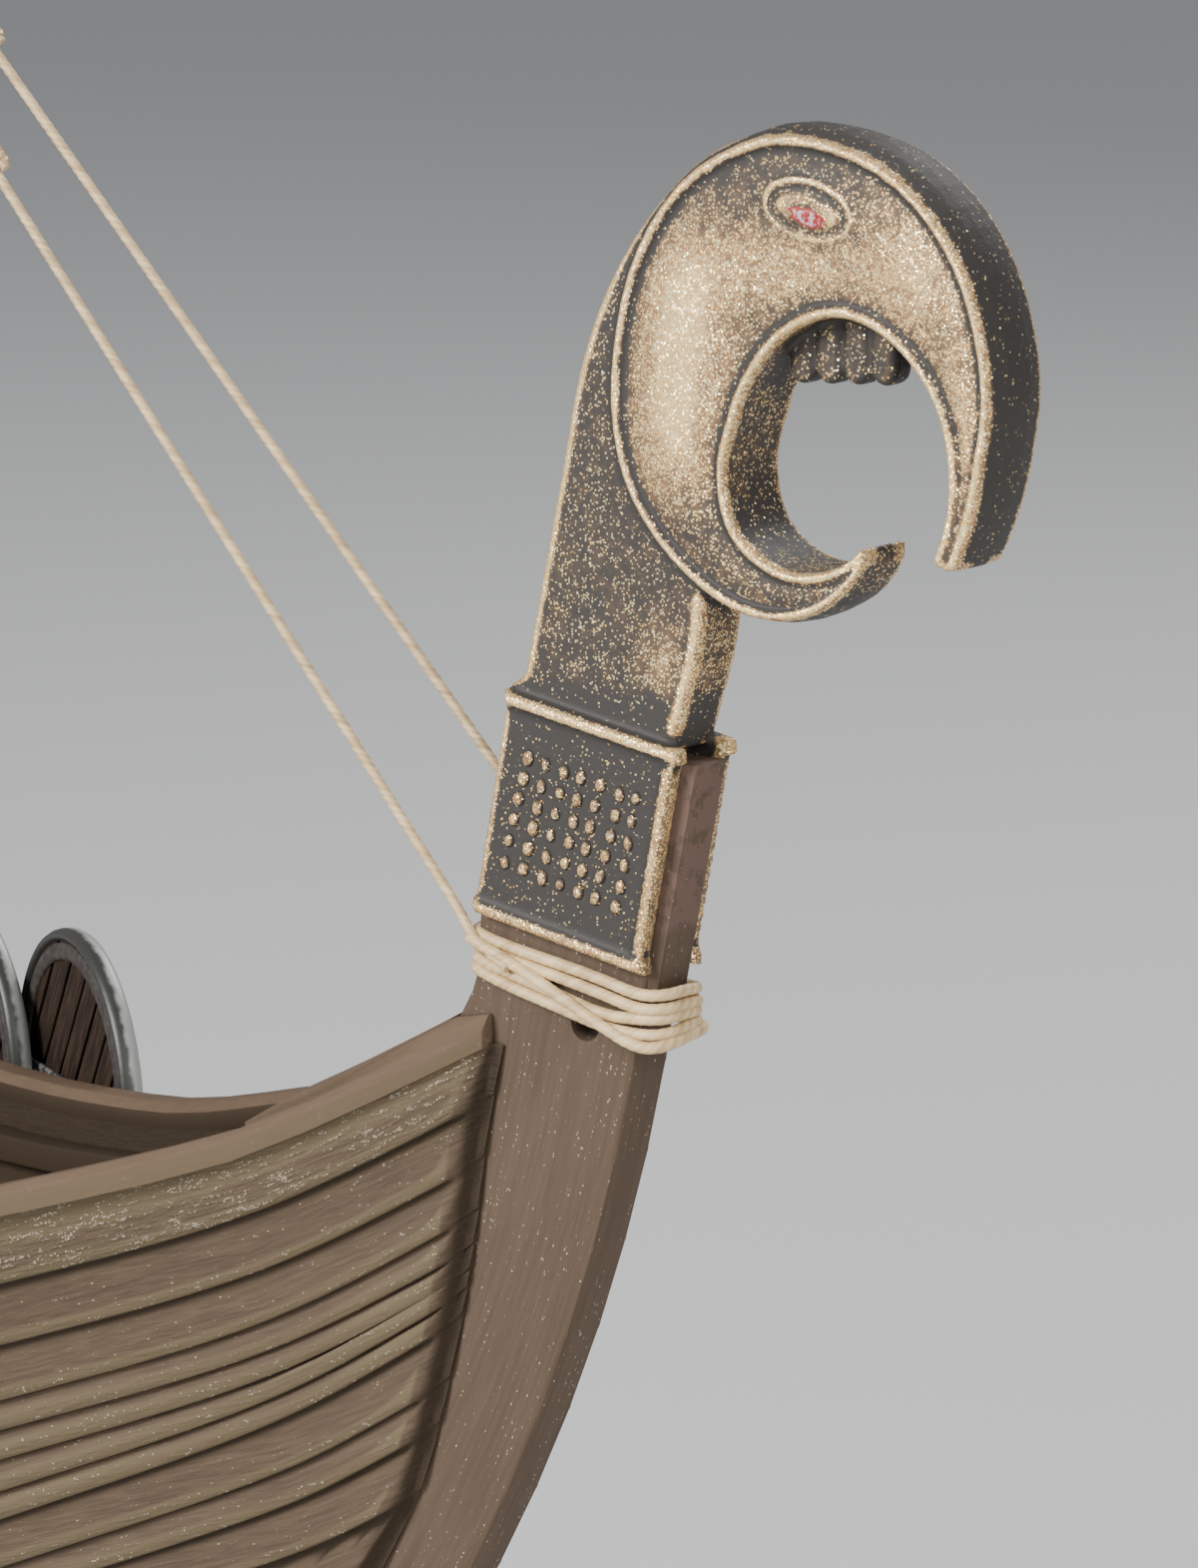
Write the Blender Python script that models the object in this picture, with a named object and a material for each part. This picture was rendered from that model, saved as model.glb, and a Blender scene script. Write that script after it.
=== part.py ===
"""Bow section of a plastic model viking ship, about 1:50, with its curled figurehead.

Metres, +Z up, +X towards the bow, +Y to port. The origin is the middle of the keel's sawn end.
Places on the ship are worked out as (aft, y, up): millimetres aft of the point where the rails
meet the stem, to port of the centreline, and above that point.
"""
import bmesh
import bpy
import math
import numpy as np

MM = 0.001

# The section as a whole
LENGTH = 84.0
GAP = 0.1

# The stem and keel are one arc about a centre aft of the stem and above the rail
ARC_AFT = 85.7
ARC_UP = 18.0
STEM_RADIUS = 96.45
KEEL_INNER_RADIUS = 89.0
KEEL_END_DROP = (math.sqrt(STEM_RADIUS ** 2 - (ARC_AFT - LENGTH) ** 2)
                 + math.sqrt(KEEL_INNER_RADIUS ** 2 - (ARC_AFT - LENGTH) ** 2)) / 2
RAIL_HEIGHT = KEEL_END_DROP - ARC_UP
STEM_HALF = 1.5
STEM_EASE = 0.35
STEM_TOP_ANGLE = 8.6
STEM_STEPS = 28
STEM_DEPTH = 4.6
HOLE_AFT = -5.8
HOLE_UP = 0.5
HOLE_RADIUS = 0.87

# The keel's inner edge runs forward to one angle, and the stem's inner edge runs up from another
KEEL_INNER_END = 42.0
KEEL_INNER_STEPS = 10
STEM_INNER_START = 34.0
STEM_INNER_TOP = 14.0
STEM_INNER_STEPS = 8

# The stem's back above the rail, and the tongue that the figurehead clasps, as (aft, up) corners
STEM_BACK = [(2.03, -0.13), (1.27, 1.24), (0.9, 2.31), (0.72, 5.35)]
TONGUE = [(0.70, 5.0), (-0.9, 13.9), (-12.45, 14.3), (-10.0, 2.4), (-5.0, 2.0)]
TONGUE_HALF = 1.25

# The rabbet, where the planks end on the stem, draws nearer to the front edge as it goes down
RABBET_RADIUS_TOP = 88.7
RABBET_RADIUS_LOW = 92.2
RABBET_ANGLE_TOP = 15.5
RABBET_ANGLE_LOW = 28.5
RABBET_ANGLE_FIRST = 10.5

# Sheer and half-breadth. The sides' own length is where their two curves were set
SHEER = [(0.0, -0.2), (5.5, -3.3), (10.9, -6.0), (24.4, -10.2), (42.3, -15.1), (59.9, -17.3), (78.0, -18.0),
         (LENGTH, -18.1)]
SIDE_LENGTH = 78.0
ENTRY_HALF = 2.1
ENTRY_SLOPE = 0.577
SIDE_HALF = 37.5
SIDE_SLOPE = 0.33
SECTION_POWER_BOW = 1.1
SECTION_POWER_AFT = 0.72

# Planks: how deep below the sheer each plank's lower edge lies, at the stem, 25 mm aft, and far aft
PLANK_STATIONS = (0.0, 25.0, SIDE_LENGTH)
PLANK_DEPTHS = [
    (4.0, 5.3, 5.5),
    (7.0, 8.6, 9.3),
    (9.5, 11.6, 12.9),
    (11.2, 13.2, 16.3),
    (12.4, 14.8, 19.6),
    (13.2, 16.5, 22.8),
    (14.4, 18.0, 26.0),
    (17.3, 20.6, 29.3),
    (19.4, 22.4, 32.7),
    (22.5, 24.9, 36.2),
    (26.5, 29.0, 39.9),
    (31.0, 33.5, 43.8),
    (36.0, 38.3, 47.8),
    (41.0, 43.0, 51.8),
]
GARBOARD_START = 2.0
WALL = 1.5
HULL_STEPS = 16
HULL_SPREAD = 1.55

# Each plank's lower edge is a rounded bead: how proud it stands and how far above the edge, row by row
BEAD_ROWS = [(0.42, 0.95), (0.6, 0.45), (0.45, 0.0), (0.0, 0.0)]

# A narrow groove runs between the stem and the planks' ends: its floor's height, and where it ends
GROOVE_FLOOR = 0.18
GROOVE_PROUD = 0.25
GROOVE_WIDE = (0.0, 0.6, 0.95)
FLOOR_STEPS = len(GROOVE_WIDE) - 1
PLANK_END_LIFT = 0.35

# Rail, stringer, deck and beams
RAIL_TALL = 1.6
RAIL_TALL_BOW = 1.25
RAIL_TAPER = 12.0
RAIL_WIDE = 2.2
RAIL_PROUD = 0.25
RAIL_EASE = 0.5
RAIL_STEPS = 20
RAIL_SPREAD = 1.25
STRINGER_DEPTH = 2.7
STRINGER_TALL = 1.6
STRINGER_WIDE = 1.1
STRINGER_START = 9.0
DECK_DEPTH = 9.0
DECK_THICK = 1.2
DECK_START = 16.0
BEAM_PLACES = (32.0, 54.0, 76.0)
BEAM_TALL = 2.4
BEAM_LONG = 2.2

# The breasthook is a crowned cap between the rails, from the stem's sloping shoulder aft. The rails' inner
# edges rise to meet its crown, and come level again farther aft
BREASTHOOK_START = 2.7
BREASTHOOK_END = 12.0
BREASTHOOK_STEPS = 7
BREASTHOOK_THICK = 1.6
CROWN_HIGH = [(0.0, 0.75), (2.5, 1.5), (6.0, 1.45), (10.0, 1.35), (11.2, 1.15), (12.0, 0.5)]
CROWN_FADE = (4.0, 11.0)
CAP_SHARES = (-1.0, -0.67, -0.33, 0.0, 0.33, 0.67, 1.0)
SHOULDER = ((2.03, -0.13), (4.49, -2.25))

# Figurehead: a C-shaped head on a curved neck, standing in a collar on the stem's tongue.
# The two edges of the C are (angle, radius) about the mouth's centre, angles from straight ahead, upwards
MOUTH_CENTRE = (-21.3, 31.0)
HEAD_EDGE = [(-37, 8.55), (-27, 8.35), (-15, 8.3), (-1, 8.45), (20, 9.4), (37, 10.45), (53, 11.8), (66, 12.9),
             (79, 13.9), (94, 14.7), (108, 15.25), (122, 15.25), (135, 14.95), (148, 14.45), (163, 13.8),
             (178, 13.4), (192, 12.95), (205, 12.2), (218, 11.4), (237, 10.3), (253, 9.1), (268, 7.65),
             (277, 6.6), (282.5, 5.95)]
MOUTH_EDGE = [(-41, 7.35), (-20, 6.75), (5, 6.34), (48, 6.1), (85, 6.22), (116, 5.89), (145, 5.65),
              (171, 5.86), (198, 6.82), (220, 7.36), (241, 7.01), (265, 6.06), (277, 5.45), (284, 5.0)]
HEAD_STEPS = 60
HEAD_HALF = 2.4
SEAM = 0.04
TIP_ANGLES = (35, 65)
TIP_BULGE = 0.65
TIP_DROP = 0.5

# Both tips get thinner: (share of the C's length, how much thinner each half is at the end)
BEAK_TAPER = (0.18, 0.25)
JAW_TAPER = (0.09, 0.5)

# The outer wall is fuller towards the middle plane: (how far it bulges, height of that place)
WALL_BULGE = [(0.42, 0.0), (0.34, 0.9), (0.14, 1.6)]
FACE_SHARES = (0.22, 0.5, 0.78)
RIM_WIDE = 0.6
RIM_TALL = 0.36
RIM_EASE = 0.3
CROWN = 0.32
CROWN_WIDTH = 7.0

# The neck's back edge, as (forward, up) places, runs on over the top of the head as a low crest
NECK_HALF = 1.85
NECK_EASE = 0.45
NECK_BACK = [(1.0, 15.0), (1.1, 16.9), (1.55, 17.35), (2.15, 17.9), (2.55, 19.6), (3.5, 23.9), (4.5, 28.4),
             (5.55, 33.3), (7.3, 37.6), (9.6, 41.0), (12.5, 43.85), (15.4, 45.35), (18.6, 45.9), (21.6, 45.6),
             (24.0, 44.6)]
NECK_FRONT = [(25.4, 42.3), (24.0, 40.2), (20.0, 39.2), (15.0, 38.6), (10.5, 33.0), (13.1, 26.0),
              (13.0, 20.9), (12.3, 18.0), (11.3, 14.9)]
NECK_BACK_STEPS = 3
NECK_FRONT_STEPS = 2

# The collar, its two ribs and its raised front edge, as (aft, up) corners. The port half reaches a little
# farther forward than the starboard one
COLLAR_HALF = 2.1
COLLAR_EASE = 0.25
COLLAR_CORNERS = [(-1.4, 16.9), (-11.85, 15.0), (-9.65, 4.05), (0.75, 5.9)]
COLLAR_RIBS = [((-1.3, 16.6), (-12.1, 14.75)), ((0.75, 5.85), (-9.95, 3.95))]
COLLAR_EDGE = [(-11.2, 14.8), (-11.75, 14.7), (-9.75, 4.5), (-9.2, 4.6)]
COLLAR_EDGE_TALL = 0.14
COLLAR_EDGE_SINK = 0.5
COLLAR_LEAD = {-1: 0.0, 1: 0.35}
COLLAR_MIDDLE = -5.0
RIB_RADIUS = 0.42
RIB_PROUD = 0.35
RIB_SINK = 0.2
RIB_EASE = 0.35

# The eye is a raised ring round a boss: (half length, half height, how proud), from the outside in
EYE_CENTRE = (-19.7, 42.25)
EYE_TILT = 9.0
EYE_STEPS = 23
EYE_CROWN_SHARE = 0.8
EYE_ROWS = [(2.75, 1.6, -0.7), (2.75, 1.6, 0.0), (2.52, 1.38, 0.2), (2.25, 1.14, 0.02), (2.0, 0.96, 0.02),
            (1.75, 0.76, 0.2), (1.1, 0.42, 0.28)]

# Four teeth hang from the mouth's roof, in the middle plane
TOOTH_COUNT = 4
TOOTH_PITCH = 1.6
TOOTH_FIRST = -18.2
TOOTH_TIP = 33.6
TOOTH_RISE = 0.1
TOOTH_ROOT = 37.9
TOOTH_SINK = 0.4
TOOTH_HALF = 0.85
TOOTH_FILL = 0.46
TOOTH_EASE = 0.35
TOOTH_BAND = 34.7
TOOTH_BAND_HALF = 0.45

# Shields hang outside the rail, each turned a little so that its front edge tucks inside the next
SHIELD_PLACES = (57.0, 70.0)
SHIELD_RADIUS = 9.35
SHIELD_THICK = 0.9
SHIELD_RIM_WIDE = 0.9
SHIELD_RIM_TALL = 0.25
SHIELD_BOSS_RADIUS = 2.3
SHIELD_BOSS_TALL = 1.4
SHIELD_BOSS_SHOULDER = (0.75, 0.65)
SHIELD_SIDES = 36
SHIELD_TWIST = 8.0
SHIELD_DROP = 1.3
SHIELD_OFFSET = 2.2
SHIELD_SLIDE = 0.8

# The lashing is a sleeve, tilted down towards the front: heights of its lower and upper edges at the back and
# at the front, and how far it stands off the stem's front there
THREAD = 0.55
LASHING_BACK_UP = (2.3, 4.8)
LASHING_FRONT_UP = (-0.9, 2.7)
LASHING_FRONT_OUT = (0.15, 0.95)
LASHING_CLEAR = 0.06
LASHING_THICK = 1.15
LASHING_CORNER = (0.6, 0.1)
LASHED_BACK = [(-0.5, 2.0), (1.24, 1.27), (2.31, 0.9), (6.0, 0.68)]

# The stays, from the lashing to the eye at the end, and the shape of that eye
STAY = 0.54
STAY_PITCH = 0.68
STAY_STEPS = 5
EYE_SWEEP = (-65.0, 245.0)
EYE_TURNS = 11
EYE_HALF = 0.85
EYE_LONG = 1.5
EYE_NARROW = 0.2
EYE_REACH = 2.4
EYE_TAIL = 1.6
STAY_STARBOARD = ((1.75, -1.75, 5.17), (33.1, -1.4, 41.1))
STAY_PORT = ((-5.4, 2.82, 3.08), (35.8, 1.4, 47.12))

COLOURS = {
    "hull": (0.172, 0.115, 0.084),
    "rail": (0.225, 0.150, 0.115),
    "deck": (0.190, 0.125, 0.085),
    "head": (0.040, 0.030, 0.022),
    "shield_a": (0.220, 0.170, 0.110),
    "thread": (0.640, 0.570, 0.440),
}


def place(aft, y, up):
    """A point of the ship, in metres from the middle of the keel's sawn end."""
    return ((LENGTH - aft) * MM, y * MM, (up + RAIL_HEIGHT) * MM)


def through(points, x):
    """A smooth curve through a few points, which never overshoots between two of them."""
    xs = [p[0] for p in points]
    ys = [p[1] for p in points]
    slopes = [(ys[i + 1] - ys[i]) / (xs[i + 1] - xs[i]) for i in range(len(xs) - 1)]
    tangents = [slopes[0]]
    for a, b in zip(slopes, slopes[1:]):
        tangents.append(2 * a * b / (a + b) if a * b > 0 else 0.0)
    tangents.append(slopes[-1])
    i = min(max(int(np.searchsorted(xs, x)) - 1, 0), len(xs) - 2)
    span = xs[i + 1] - xs[i]
    t = (x - xs[i]) / span
    start = (2 * t ** 3 - 3 * t ** 2 + 1) * ys[i] + (t ** 3 - 2 * t ** 2 + t) * span * tangents[i]
    end = (3 * t ** 2 - 2 * t ** 3) * ys[i + 1] + (t ** 3 - t ** 2) * span * tangents[i + 1]
    return start + end


def sheer(aft):
    """Height of the rail's top."""
    return through(SHEER, aft)


def half_breadth(aft):
    """Half the ship's breadth at the rail."""
    t = aft / SIDE_LENGTH
    start = (2 * t ** 3 - 3 * t ** 2 + 1) * ENTRY_HALF + (t ** 3 - 2 * t ** 2 + t) * ENTRY_SLOPE * SIDE_LENGTH
    end = (3 * t ** 2 - 2 * t ** 3) * SIDE_HALF + (t ** 3 - t ** 2) * SIDE_SLOPE * SIDE_LENGTH
    return start + end


def arc_point(radius, angle):
    """(aft, up) on a circle about the stem's centre, at an angle in degrees below level."""
    a = math.radians(angle)
    return (ARC_AFT - radius * math.cos(a), ARC_UP - radius * math.sin(a))


def arc_angle_at_cut(radius):
    """The angle at which a circle about the stem's centre meets the cut."""
    return math.degrees(math.acos((ARC_AFT - LENGTH) / radius))


def rabbet_radius(angle):
    t = (angle - RABBET_ANGLE_TOP) / (RABBET_ANGLE_LOW - RABBET_ANGLE_TOP)
    t = min(max(t, 0.0), 1.0)
    return RABBET_RADIUS_TOP + (RABBET_RADIUS_LOW - RABBET_RADIUS_TOP) * t


def rabbet(angle):
    """(aft, up) of the rabbet at an angle below level."""
    return arc_point(rabbet_radius(angle), angle)


def rabbet_up(aft):
    """Height of the rabbet, at a place far enough aft for it to be a single curve."""
    low, high = 16.0, 90.0
    for _ in range(40):
        middle = (low + high) / 2
        if rabbet(middle)[0] < aft:
            low = middle
        else:
            high = middle
    return rabbet(low)[1]


def side(aft, up):
    """Half-breadth of the planking's inner lay at a height: V-shaped at the bow, fuller aft."""
    bottom = rabbet_up(max(aft, 0.0))
    height = (up - bottom) / (sheer(aft) - bottom)
    height = min(max(height, 0.0), 1.0)
    power = SECTION_POWER_BOW + (SECTION_POWER_AFT - SECTION_POWER_BOW) * aft / SIDE_LENGTH
    return ENTRY_HALF + (half_breadth(aft) - ENTRY_HALF) * height ** power


def inner_side(aft, up):
    """Half-breadth of the hull's inside."""
    return max(side(aft, up) - WALL, STEM_HALF)


def rail_low(aft):
    """Height of the rail's lower edge."""
    share = min(max(aft / RAIL_TAPER, 0.0), 1.0)
    return sheer(aft) - RAIL_TALL_BOW - (RAIL_TALL - RAIL_TALL_BOW) * share


def rail_inner(aft):
    """Half-breadth of the rail's inner edge."""
    return max(half_breadth(aft) - RAIL_WIDE, STEM_HALF)


def crown(aft, y):
    """How high the cap between the rails stands above the rails' outer edges."""
    share = y / (half_breadth(aft) + RAIL_PROUD)
    return through(CROWN_HIGH, aft) * (1 - share * share)


def plank_up(index, aft):
    """Height of a plank's lower edge. Index 0 is the planking's top edge, under the rail."""
    if index == 0:
        return rail_low(aft) - GAP
    depths = PLANK_DEPTHS[index - 1]
    a, b, c = PLANK_STATIONS
    linear = (depths[1] - depths[0]) / (b - a)
    bend = ((depths[2] - depths[0]) / (c - a) - linear) / (c - b)
    depth = depths[0] + linear * (aft - a) + bend * (aft - a) * (aft - b)
    return sheer(aft) - depth


def plank_start(index):
    """(aft, up) where a plank's lower edge meets the rabbet."""
    low, high = RABBET_ANGLE_FIRST, arc_angle_at_cut(RABBET_RADIUS_LOW)
    for _ in range(40):
        middle = (low + high) / 2
        aft, up = rabbet(middle)
        if up > plank_up(index, max(aft, 0.0)):
            low = middle
        else:
            high = middle
    return rabbet(low)


def plank_line(index):
    """A plank's lower edge as (aft, y, up) points from the rabbet to the cut; the last line is the keel's.
    The first two points lie on the floor of the groove beside the stem."""
    points = []
    last = len(PLANK_DEPTHS)
    if index > last:
        start = plank_start(last)[0] + GARBOARD_START
    else:
        start = plank_start(index)[0]
    first = start + GROOVE_WIDE[-1]
    places = [start + wide for wide in GROOVE_WIDE[:-1]]
    for step in range(HULL_STEPS + 1):
        places.append(first + (LENGTH - first) * (step / HULL_STEPS) ** HULL_SPREAD)
    for step, aft in enumerate(places):
        if index > last:
            up = rabbet_up(aft)
        elif step == 0:
            up = plank_start(index)[1]
        else:
            up = plank_up(index, max(aft, 0.0))
        floor = STEM_HALF + GROOVE_FLOOR
        points.append((aft, floor if step < FLOOR_STEPS else max(side(max(aft, 0.0), up), floor), up))
    return points


def smooth_path(points, steps):
    """A smooth curve through (forward, up) points, as (aft, up) places."""
    ends = [points[0]] + list(points) + [points[-1]]
    path = []
    for a, b, c, d in zip(ends, ends[1:], ends[2:], ends[3:]):
        for step in range(steps):
            t = step / steps
            weights = (-t ** 3 + 2 * t ** 2 - t, 3 * t ** 3 - 5 * t ** 2 + 2, -3 * t ** 3 + 4 * t ** 2 + t,
                       t ** 3 - t ** 2)
            forward, up = (sum(w * p[k] for w, p in zip(weights, (a, b, c, d))) / 2 for k in (0, 1))
            path.append((-forward, up))
    path.append((-points[-1][0], points[-1][1]))
    return path


def finish(obj, colour, roughness=0.75, smooth=30.0):
    """The object's own material, and smooth shading up to an angle in degrees."""
    material = bpy.data.materials.new(obj.name + "_finish")
    material.use_nodes = True
    shader = material.node_tree.nodes["Principled BSDF"]
    shader.inputs["Base Color"].default_value = (*COLOURS[colour], 1.0)
    shader.inputs["Roughness"].default_value = roughness
    obj.data.materials.clear()
    obj.data.materials.append(material)
    if obj.type == "MESH":
        obj.data.shade_smooth()
        obj.data.set_sharp_from_angle(angle=math.radians(smooth))
    return obj


def mesh_object(name, vertices, faces):
    """A named object from points and faces, with its faces turned outwards."""
    mesh = bpy.data.meshes.new(name)
    mesh.from_pydata(vertices, [], faces)
    bm = bmesh.new()
    bm.from_mesh(mesh)
    bmesh.ops.recalc_face_normals(bm, faces=bm.faces)
    bm.to_mesh(mesh)
    bm.free()
    obj = bpy.data.objects.new(name, mesh)
    bpy.context.collection.objects.link(obj)
    return obj


def loft(name, sections):
    """A closed solid through equal closed sections, each a list of (aft, y, up)."""
    count = len(sections[0])
    vertices = [place(*point) for section in sections for point in section]
    faces = []
    for i in range(len(sections) - 1):
        for j in range(count):
            k = (j + 1) % count
            faces.append((i * count + j, i * count + k, (i + 1) * count + k, (i + 1) * count + j))
    faces.append(tuple(range(count)))
    last = (len(sections) - 1) * count
    faces.append(tuple(range(last, last + count)))
    return mesh_object(name, vertices, faces)


def plate(name, outline, y_from, y_to):
    """A flat plate across the ship: an outline of (aft, up) points, between two planes of y."""
    near = [place(aft, y_from, up) for aft, up in outline]
    far = [place(aft, y_to, up) for aft, up in outline]
    count = len(outline)
    faces = [tuple(range(count)), tuple(range(count, 2 * count))]
    for i in range(count):
        j = (i + 1) % count
        faces.append((i, j, count + j, count + i))
    return mesh_object(name, near + far, faces)


def combine(target, others, operation):
    """Unites solids with the target, or cuts them out of it, and takes their objects away."""
    for other in others:
        step = target.modifiers.new(operation.lower(), "BOOLEAN")
        step.operation = operation
        step.solver = "EXACT"
        step.object = other
    depsgraph = bpy.context.evaluated_depsgraph_get()
    depsgraph.update()
    mesh = bpy.data.meshes.new_from_object(target.evaluated_get(depsgraph))
    target.modifiers.clear()
    target.data = mesh
    for other in others:
        bpy.data.objects.remove(other)
    return target


def mirror_across(obj):
    """Turns a starboard piece into its port twin."""
    bm = bmesh.new()
    bm.from_mesh(obj.data)
    for vertex in bm.verts:
        vertex.co.y = -vertex.co.y
    bmesh.ops.reverse_faces(bm, faces=bm.faces)
    bm.to_mesh(obj.data)
    bm.free()


def ease_edges(obj, width, chosen):
    """Rounds the edges whose two ends are both chosen, by a test on (aft, y, up)."""
    bm = bmesh.new()
    bm.from_mesh(obj.data)

    def picked(vertex):
        x, y, z = (value / MM for value in vertex.co)
        return chosen(LENGTH - x, y, z - RAIL_HEIGHT)

    edges = [edge for edge in bm.edges if all(picked(vertex) for vertex in edge.verts)]
    bmesh.ops.bevel(bm, geom=edges, offset=width * MM, segments=2, profile=0.5, affect="EDGES",
                    clamp_overlap=True)
    bm.to_mesh(obj.data)
    bm.free()
    return obj


def eased_plate(name, outline, y_from, y_to, width):
    """A plate whose outer face, at y_to, has rounded edges."""
    obj = plate(name, outline, y_from, y_to)
    return ease_edges(obj, width, lambda aft, y, up: abs(y - y_to) < 0.001)


def ellipse(centre, radii, start, end, steps, tilt=0.0):
    """(aft, up) points on an ellipse. Angles run from straight ahead, upwards, in degrees."""
    points = []
    lean = math.radians(tilt)
    for step in range(steps + 1):
        a = math.radians(start + (end - start) * step / steps)
        forward = radii[0] * math.cos(a)
        rise = radii[1] * math.sin(a)
        points.append((centre[0] - forward * math.cos(lean) - rise * math.sin(lean),
                       centre[1] - forward * math.sin(lean) + rise * math.cos(lean)))
    return points


def make_stem():
    """Stem and keel in one, with the tongue that stands between the figurehead's halves."""
    angles = np.linspace(STEM_TOP_ANGLE, arc_angle_at_cut(STEM_RADIUS), STEM_STEPS)
    outline = [arc_point(STEM_RADIUS, a) for a in angles]
    angles = np.linspace(arc_angle_at_cut(KEEL_INNER_RADIUS), KEEL_INNER_END, KEEL_INNER_STEPS)
    outline += [arc_point(KEEL_INNER_RADIUS, a) for a in angles]
    angles = np.linspace(STEM_INNER_START, STEM_INNER_TOP, STEM_INNER_STEPS)
    outline += [arc_point(rabbet_radius(a) - STEM_DEPTH, a) for a in angles]
    stem = plate("stem_and_keel", outline + STEM_BACK, -STEM_HALF, STEM_HALF)
    near_front = STEM_RADIUS - 0.01
    ease_edges(stem, STEM_EASE, lambda aft, y, up: math.hypot(ARC_AFT - aft, ARC_UP - up) > near_front)
    combine(stem, [plate("tongue", TONGUE, -TONGUE_HALF, TONGUE_HALF)], "UNION")
    bpy.ops.mesh.primitive_cylinder_add(vertices=24, radius=HOLE_RADIUS * MM, depth=4 * STEM_HALF * MM,
                                        location=place(HOLE_AFT, 0, HOLE_UP),
                                        rotation=(math.radians(90), 0, 0))
    combine(stem, [bpy.context.object], "DIFFERENCE")
    return finish(stem, "hull")


def make_hull(name, hand):
    """One side's clinker planking: each plank's lower edge is a bead that stands proud of the next plank."""
    lines = [plank_line(i) for i in range(len(PLANK_DEPTHS) + 2)]
    last = len(lines) - 1
    steps = len(lines[0])
    vertices = []
    outer = []
    inner = []
    for index, line in enumerate(lines):
        rows = [(0.0, 0.0)] if index in (0, last) else BEAD_ROWS
        above = lines[max(index - 1, 0)]
        slant = (line[0][0] - above[0][0]) / (line[0][2] - above[0][2]) if index else 0.0
        group = []
        for proud, rise in rows:
            group.append(list(range(len(vertices), len(vertices) + steps)))
            for step, (aft, y, up) in enumerate(line):
                if step < FLOOR_STEPS:
                    lift = rise + PLANK_END_LIFT if 0 < index < last else rise
                    vertices.append(place(aft + slant * lift, hand * (y + proud * GROOVE_PROUD), up + lift))
                else:
                    wide = max(side(max(aft, 0.0), up + rise), STEM_HALF + GROOVE_FLOOR)
                    vertices.append(place(aft, hand * (wide + proud), up + rise))
        outer.append(group)
        inner.append(list(range(len(vertices), len(vertices) + steps)))
        for aft, y, up in line:
            vertices.append(place(aft, hand * max(y - WALL, STEM_HALF), up))
    faces = []
    for index in range(last):
        rows = [outer[index][-1]] + outer[index + 1]
        for s in range(steps - 1):
            for high, low in zip(rows, rows[1:]):
                faces.append((high[s], high[s + 1], low[s + 1], low[s]))
            faces.append((inner[index][s + 1], inner[index][s], inner[index + 1][s], inner[index + 1][s + 1]))
        for s in (0, steps - 1):
            faces.append([row[s] for row in rows] + [inner[index + 1][s], inner[index][s]])
    for index in (0, last):
        edge = outer[index][-1]
        for s in range(steps - 1):
            faces.append((edge[s], edge[s + 1], inner[index][s + 1], inner[index][s]))
    return finish(mesh_object(name, vertices, faces), "hull")


def make_rail(name, hand):
    """The rounded rail along the planking's top. Near the stem its inner edge rises to the cap."""
    sections = []
    for step in range(RAIL_STEPS + 1):
        aft = LENGTH * (step / RAIL_STEPS) ** RAIL_SPREAD
        top = sheer(aft)
        outer = half_breadth(aft) + RAIL_PROUD
        inner = rail_inner(aft)
        ease = min(RAIL_EASE, (outer - inner) / 3)
        level = min(max((aft - CROWN_FADE[0]) / (CROWN_FADE[1] - CROWN_FADE[0]), 0.0), 1.0)
        rise = crown(min(aft, BREASTHOOK_END), inner) * (1 - level)
        low = rail_low(aft)
        corners = [(outer, low), (outer, top - ease), (outer - ease, top + rise * ease / (outer - inner)),
                   (inner + ease, top + rise), (inner, top + rise - ease * level), (inner, low)]
        sections.append([(aft, hand * y, up) for y, up in corners])
    return finish(loft(name, sections), "rail")


def make_stringer(name, hand):
    """The batten inside the planking, under the rail, that the shields are tied to."""
    sections = []
    for step in range(HULL_STEPS + 1):
        aft = STRINGER_START + (LENGTH - STRINGER_START) * step / HULL_STEPS
        top = sheer(aft) - STRINGER_DEPTH
        low = top - STRINGER_TALL
        outer = inner_side(aft, top) - 2 * GAP
        outer_low = inner_side(aft, low) - 2 * GAP
        sections.append([(aft, hand * outer, top), (aft, hand * (outer_low - STRINGER_WIDE), top),
                         (aft, hand * (outer_low - STRINGER_WIDE), low), (aft, hand * outer_low, low)])
    return finish(loft(name, sections), "rail")


def make_deck():
    """The foredeck, which follows the sheer between the hull's sides."""
    sections = []
    for step in range(HULL_STEPS + 1):
        aft = DECK_START + (LENGTH - DECK_START) * step / HULL_STEPS
        top = sheer(aft) - DECK_DEPTH
        low = top - DECK_THICK
        wide = inner_side(aft, low) - 2 * GAP
        sections.append([(aft, -wide, top), (aft, wide, top), (aft, wide, low), (aft, -wide, low)])
    return finish(loft("foredeck", sections), "deck")


def make_beam(index, aft):
    """A beam across the hull, under the deck."""
    top = min(sheer(aft - BEAM_LONG / 2), sheer(aft + BEAM_LONG / 2)) - DECK_DEPTH - DECK_THICK - GAP
    low = top - BEAM_TALL
    sections = []
    for end in (aft - BEAM_LONG / 2, aft + BEAM_LONG / 2):
        wide_top = inner_side(aft - BEAM_LONG / 2, top) - 2 * GAP
        wide_low = inner_side(aft - BEAM_LONG / 2, low) - 2 * GAP
        corners = [(-wide_top, top), (wide_top, top), (wide_low, low), (-wide_low, low)]
        sections.append([(end, y, up) for y, up in corners])
    return finish(loft("deck_beam_%d" % index, sections), "deck")


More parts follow.
